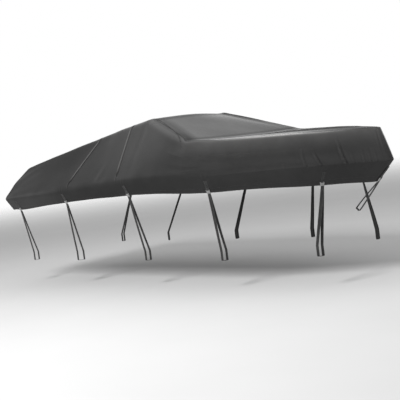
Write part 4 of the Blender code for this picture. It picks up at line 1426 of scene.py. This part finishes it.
def stitch_tree():
    tree = Tree("stitches", Length="NodeSocketFloat", Thickness="NodeSocketFloat",
                Height="NodeSocketFloat", Seed="NodeSocketInt", Thread="NodeSocketMaterial")
    ends = []
    for share in (-0.5, 0.5):
        end = tree.add("ShaderNodeMath", {"operation": "MULTIPLY"})
        end.node.inputs[1].default_value = share
        tree.group.links.new(tree.given["Length"], end.node.inputs[0])
        ends.append(tree.add("ShaderNodeCombineXYZ", X=end))
    line = tree.add("GeometryNodeCurveQuadraticBezier", Resolution=3, Start=ends[0],
                    Middle=tree.add("ShaderNodeCombineXYZ", Z=tree.given["Height"]),
                    End=ends[1])
    ring = tree.add("GeometryNodeCurvePrimitiveCircle", Resolution=5,
                    Radius=tree.given["Thickness"])
    stitch = tree.add("GeometryNodeCurveToMesh", Curve=line, Profile_Curve=ring,
                      Fill_Caps=True)
    size = tree.add("FunctionNodeRandomValue", {"data_type": "FLOAT"}, out=1,
                    Seed=tree.given["Seed"])
    size.node.inputs[2].default_value, size.node.inputs[3].default_value = 0.88, 1.10
    spots = tree.add("GeometryNodeMeshToPoints", Mesh=tree.given["Geometry"])
    placed = tree.add("GeometryNodeInstanceOnPoints", Points=spots, Instance=stitch,
                      Rotation=tree.turned(), Scale=size)
    tree.finish(placed, tree.given["Thread"])
    return tree


stitches = stitch_tree()
print("stitch inputs:", list(stitches.ids))

# %% [markdown]
# ## Stitches
# Seams are sewn twice, side by side, with about eight millimetres to a stitch on such heavy
# cloth. The hem has one line. A bump pattern would do from far off, but the lines catch
# light as small specks when seen low along the cloth, so they are real.

# %% Lines of stitches
PITCH, STITCH, THREAD, STITCH_RISE = 0.0085, 0.0062, 0.00042, 0.0011
BAND_TOP, CLOTH_TOP, TAB_TOP = 0.0012, 0.0001, 0.0002
BESIDE_SEAM, BESIDE_WELT, TAB_PITCH, LINE_STEP = 0.0046, 0.0150, 0.0060, 0.012
PLAIN_COLUMN = 200


def stitch_line(spots, facing, offset, above, pitch=PITCH):
    """Points for a line of stitches, beside a line on the cloth."""
    length = lengths_along(spots)[-1]
    at = np.arange(0.5 * pitch, length, pitch)
    line = evenly(spots, facing, LINE_STEP)
    reach = np.linspace(0.0, length, len(line[0]))
    place, up_here, ahead_here = (along_line(at, reach, vectors) for vectors in line)
    up_here, ahead_here = unit(up_here), unit(ahead_here)
    return place + np.cross(up_here, ahead_here) * offset + up_here * above, up_here, ahead_here


def sew(name, lines):
    """All stitch lines of a kind as one piece."""
    spots, ups, along = (np.concatenate(parts) for parts in zip(*lines))
    piece = stitches.run(point_cloud(f"{name}_points", spots, ups, along), name,
                         Length=STITCH, Thickness=THREAD, Height=STITCH_RISE, Seed=7,
                         Thread=thread)
    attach(piece, "root")
    print(f"{name}: {len(spots)} stitches, {len(piece.data.polygons)} faces")


seam_stitches = [stitch_line(*line, side * BESIDE_SEAM, BAND_TOP)
                 for line in seam_lines for side in (-1, 1)]
for port in (False, True):
    for at, _ in WELTS:
        for beside in (-BESIDE_WELT, BESIDE_WELT):
            rows = on_side(np.arange(FOLD + 6, SEAM - 2), port)
            seam_stitches.append(stitch_line(*on_grid(index_of(at + beside), rows), 0.0,
                                             CLOTH_TOP))
sew("stitches_seams", seam_stitches)

hem_row = float(np.interp(HEM_STITCH, girth[PLAIN_COLUMN], np.arange(CENTRE + 1)))
hem_lines = []
for port in (False, True):
    line = on_grid(np.arange(1, len(columns) - 2), on_side(hem_row, port))
    hem_lines.append(stitch_line(*line, 0.0, CLOTH_TOP))
stern_row = int(round(float(np.interp(HEM_STITCH, girth[0], np.arange(CENTRE + 1)))))
hem_lines.append(stitch_line(stern[2:-2, stern_row], stern_normals[2:-2, stern_row], 0.0,
                             CLOTH_TOP))
sew("stitches_hems", hem_lines)

# %% The box and cross on each tab
def tab_stitches(outer, facing):
    """A rectangle and a cross of stitches on a tab's face."""
    wide, high = outer.shape[0] - 2, outer.shape[1] - 2
    corners = [(1, 1), (wide, 1), (wide, high), (1, high)]
    lines = [(a, b) for a, b in zip(corners, corners[1:] + corners[:1])]
    lines += [(corners[0], corners[2]), (corners[1], corners[3])]
    made = []
    for (i0, j0), (i1, j1) in lines:
        share = np.linspace(0.0, 1.0, 9)
        i, j = i0 + (i1 - i0) * share, j0 + (j1 - j0) * share
        spots, ups = (blend(field, i, j) for field in (outer, facing))
        made.append(stitch_line(spots, unit(ups), 0.0, TAB_TOP, TAB_PITCH))
    return made


sew("stitches_tabs", [line for tab in tab_faces for line in tab_stitches(*tab)])

# %% [markdown]
# ## Buckles
# A side-release buckle has two halves. The upper half is a flat shell with a bar for the tab,
# open at both sides, where the fingers press. The lower half has two springy arms that reach
# into the shell, and a ladder of two bars for the strap. Each wall is a plate with rounded
# edges, because moulded plastic has no sharp corner, and those edges catch the highlights.

# %% One buckle
def box_outline(left, right, top, bottom):
    return ((left, -top), (right, -top), (right, -bottom), (left, -bottom))


def plate(model, outline, back, front, bevel):
    """Add a plate with rounded edges. Sizes are in millimetres."""
    solid = bmesh.new()
    low = [solid.verts.new((x, y, back)) for x, y in outline]
    high = [solid.verts.new((x, y, front)) for x, y in outline]
    solid.faces.new(low[::-1])
    solid.faces.new(high)
    for k in range(len(outline)):
        after = (k + 1) % len(outline)
        solid.faces.new((low[k], low[after], high[after], high[k]))
    bmesh.ops.recalc_face_normals(solid, faces=solid.faces)
    bmesh.ops.bevel(solid, geom=list(solid.edges), offset=bevel, segments=3, profile=0.6,
                    affect="EDGES", clamp_overlap=True)
    bmesh.ops.scale(solid, vec=(0.001, 0.001, 0.001), verts=solid.verts)
    held = bpy.data.meshes.new("plate")
    solid.to_mesh(held)
    solid.free()
    model.from_mesh(held)
    bpy.data.meshes.remove(held)


def buckle_model():
    model = bmesh.new()
    for side in (-1, 1):
        def across(*outline):
            return tuple((side * x, -y) for x, y in outline)

        plate(model, across((17, 0), (23, 0), (24, 2), (24, 13), (17, 13)), 1.6, 8.4, 1.1)
        plate(model, across((18, 16), (21.5, 16), (24, 19), (24, 29), (21.5, 33), (20.5, 42),
                            (17, 42)), 2.6, 7.4, 1.0)
        plate(model, across((15.5, 46), (21, 46), (21, 63), (19.5, 64), (15.5, 64)), 1.9, 8.1,
              1.1)
    plate(model, box_outline(-18, 18, 1.0, 5.2), 2.6, 7.4, 1.5)
    plate(model, box_outline(-18, 18, 10.0, 13.6), 1.4, 8.6, 1.3)
    shell = ((-21, -12), (21, -12), (22.5, -15), (19.5, -21), (19.5, -29), (22, -34),
             (21.5, -40), (-21.5, -40), (-22, -34), (-19.5, -29), (-19.5, -21), (-22.5, -15))
    plate(model, shell, 7.2, 9.6, 0.9)
    plate(model, shell, 0.4, 2.8, 0.9)
    plate(model, box_outline(-11, 11, 13, 39), 2.2, 7.8, 0.8)
    plate(model, box_outline(-6.5, 6.5, 18, 33), 9.2, 10.0, 0.35)
    plate(model, ((-20.5, -40.6), (20.5, -40.6), (21, -43), (21, -48), (-21, -48), (-21, -43)),
          0.8, 9.2, 1.5)
    plate(model, box_outline(-17, 17, 49.0, 53.5), 2.4, 7.6, 1.5)
    plate(model, box_outline(-17, 17, 59.9, 64.0), 2.6, 7.4, 1.5)
    mesh = bpy.data.meshes.new("buckle")
    model.to_mesh(mesh)
    model.free()
    return bpy.data.objects.new("buckle", mesh)


def buckle_tree():
    tree = Tree("buckles", Model="NodeSocketObject", Plastic="NodeSocketMaterial")
    model = tree.add("GeometryNodeObjectInfo", out="Geometry", Object=tree.given["Model"])
    spots = tree.add("GeometryNodeMeshToPoints", Mesh=tree.given["Geometry"])
    placed = tree.add("GeometryNodeInstanceOnPoints", Points=spots, Instance=model,
                      Rotation=tree.turned())
    tree.finish(placed, tree.given["Plastic"])
    return tree


one_buckle = buckle_model()
buckles = buckle_tree().run(
    point_cloud("buckle_points", [tie["buckle"] for tie in tie_downs],
                [tie["out"] for tie in tie_downs], [tie["wide"] for tie in tie_downs]),
    "buckles", Model=one_buckle, Plastic=plastic)
buckles.data.set_sharp_from_angle(angle=math.radians(40))
bpy.data.objects.remove(one_buckle)
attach(buckles, "root")
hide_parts(*[f"buckle_{tie['name']}" for tie in tie_downs])
print("buckles:", len(buckles.data.polygons), "faces")

# %% [markdown]
# ## The panels in place
# Each panel was cut flat and then pulled tight by the loops that hold it down. Here it is
# attached to the model's body, the solid it takes the place of is hidden, and the size of
# the flat cloth it was cut from is worked out.

loops = [f"loop_{tie['name']}" for tie in tie_downs]
for piece, outer, node in pieces_to_declare:
    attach(piece, "root")
    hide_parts(node)
    width, length = flat_size(outer)
    side = next((word for word in ("starboard", "port") if word in node), "")
    [name for name in loops if side in name]

# %% [markdown]
# ## Floor and light
# A plain pale floor and a plain soft studio light. The world is white at the horizon and
# grey overhead, as a light tent is, which lays the soft sheen on the dark cloth where the
# eye meets it at a low angle. A large weak lamp hangs overhead. A smaller and stronger one
# stands off the starboard side, and lights the side and the front slope without a highlight
# of its own.

# %% The stage
FLOOR_RADIUS, FADE_FROM, FADE_TO = 60.0, 9.0, 40.0
FLOOR_HEIGHT = -RIDGE_HEIGHT
HORIZON, CEILING = 1.0, 0.42

floor_mesh = bpy.data.meshes.new("floor")
disc = bmesh.new()
bmesh.ops.create_circle(disc, cap_ends=True, radius=FLOOR_RADIUS, segments=96)
disc.to_mesh(floor_mesh)
disc.free()
floor = in_scene("floor", floor_mesh)
floor.location = (0.0, 0.0, FLOOR_HEIGHT)
floor_paint, shader, paint = new_material("floor", roughness=0.9, specular_ior_level=0.1)
place = paint.node("ShaderNodeTexCoord", out="Object")
away = place.node("ShaderNodeVectorMath", {"operation": "LENGTH"}, {0: place}, out="Value")
plug(shader, base_color=place.noise(0.8, 3.0).mix(grey(0.62), grey(0.66)),
     alpha=1.0 - away.between(FADE_FROM, FADE_TO))
floor_mesh.materials.append(floor_paint)

world = bpy.context.scene.world or bpy.data.worlds.new("world")
bpy.context.scene.world = world
world.use_nodes = True
sky = Sock(world.node_tree).node("ShaderNodeTexCoord", out="Generated")
dome = sky.axis(2).between(0.22, 0.55).mix(grey(HORIZON), grey(CEILING))
background = world.node_tree.nodes["Background"]
world.node_tree.links.new(dome.socket, background.inputs["Color"])


def soft_box(name, place, target, size, energy, mirrored=True):
    """A soft lamp that looks at a target and that the camera doesn't see."""
    lamp = in_scene(name, bpy.data.lights.new(name, "AREA"))
    lamp.data.shape, (lamp.data.size, lamp.data.size_y) = "RECTANGLE", size
    lamp.data.energy = energy
    lamp.location = place
    aim = Vector(target) - Vector(place)
    lamp.rotation_euler = aim.to_track_quat("-Z", "Y").to_euler()
    lamp.visible_camera, lamp.visible_glossy = False, mirrored


soft_box("overhead", (0.5, 0.0, 4.5), (0.5, 0.0, 0.0), (9.0, 6.0), 90.0)
soft_box("key", (1.2, -7.8, 5.8), (0.5, 0.0, -0.8), (3.0, 3.0), 1000.0, mirrored=False)
bpy.context.scene.view_settings.view_transform = "Standard"
print("stage set")
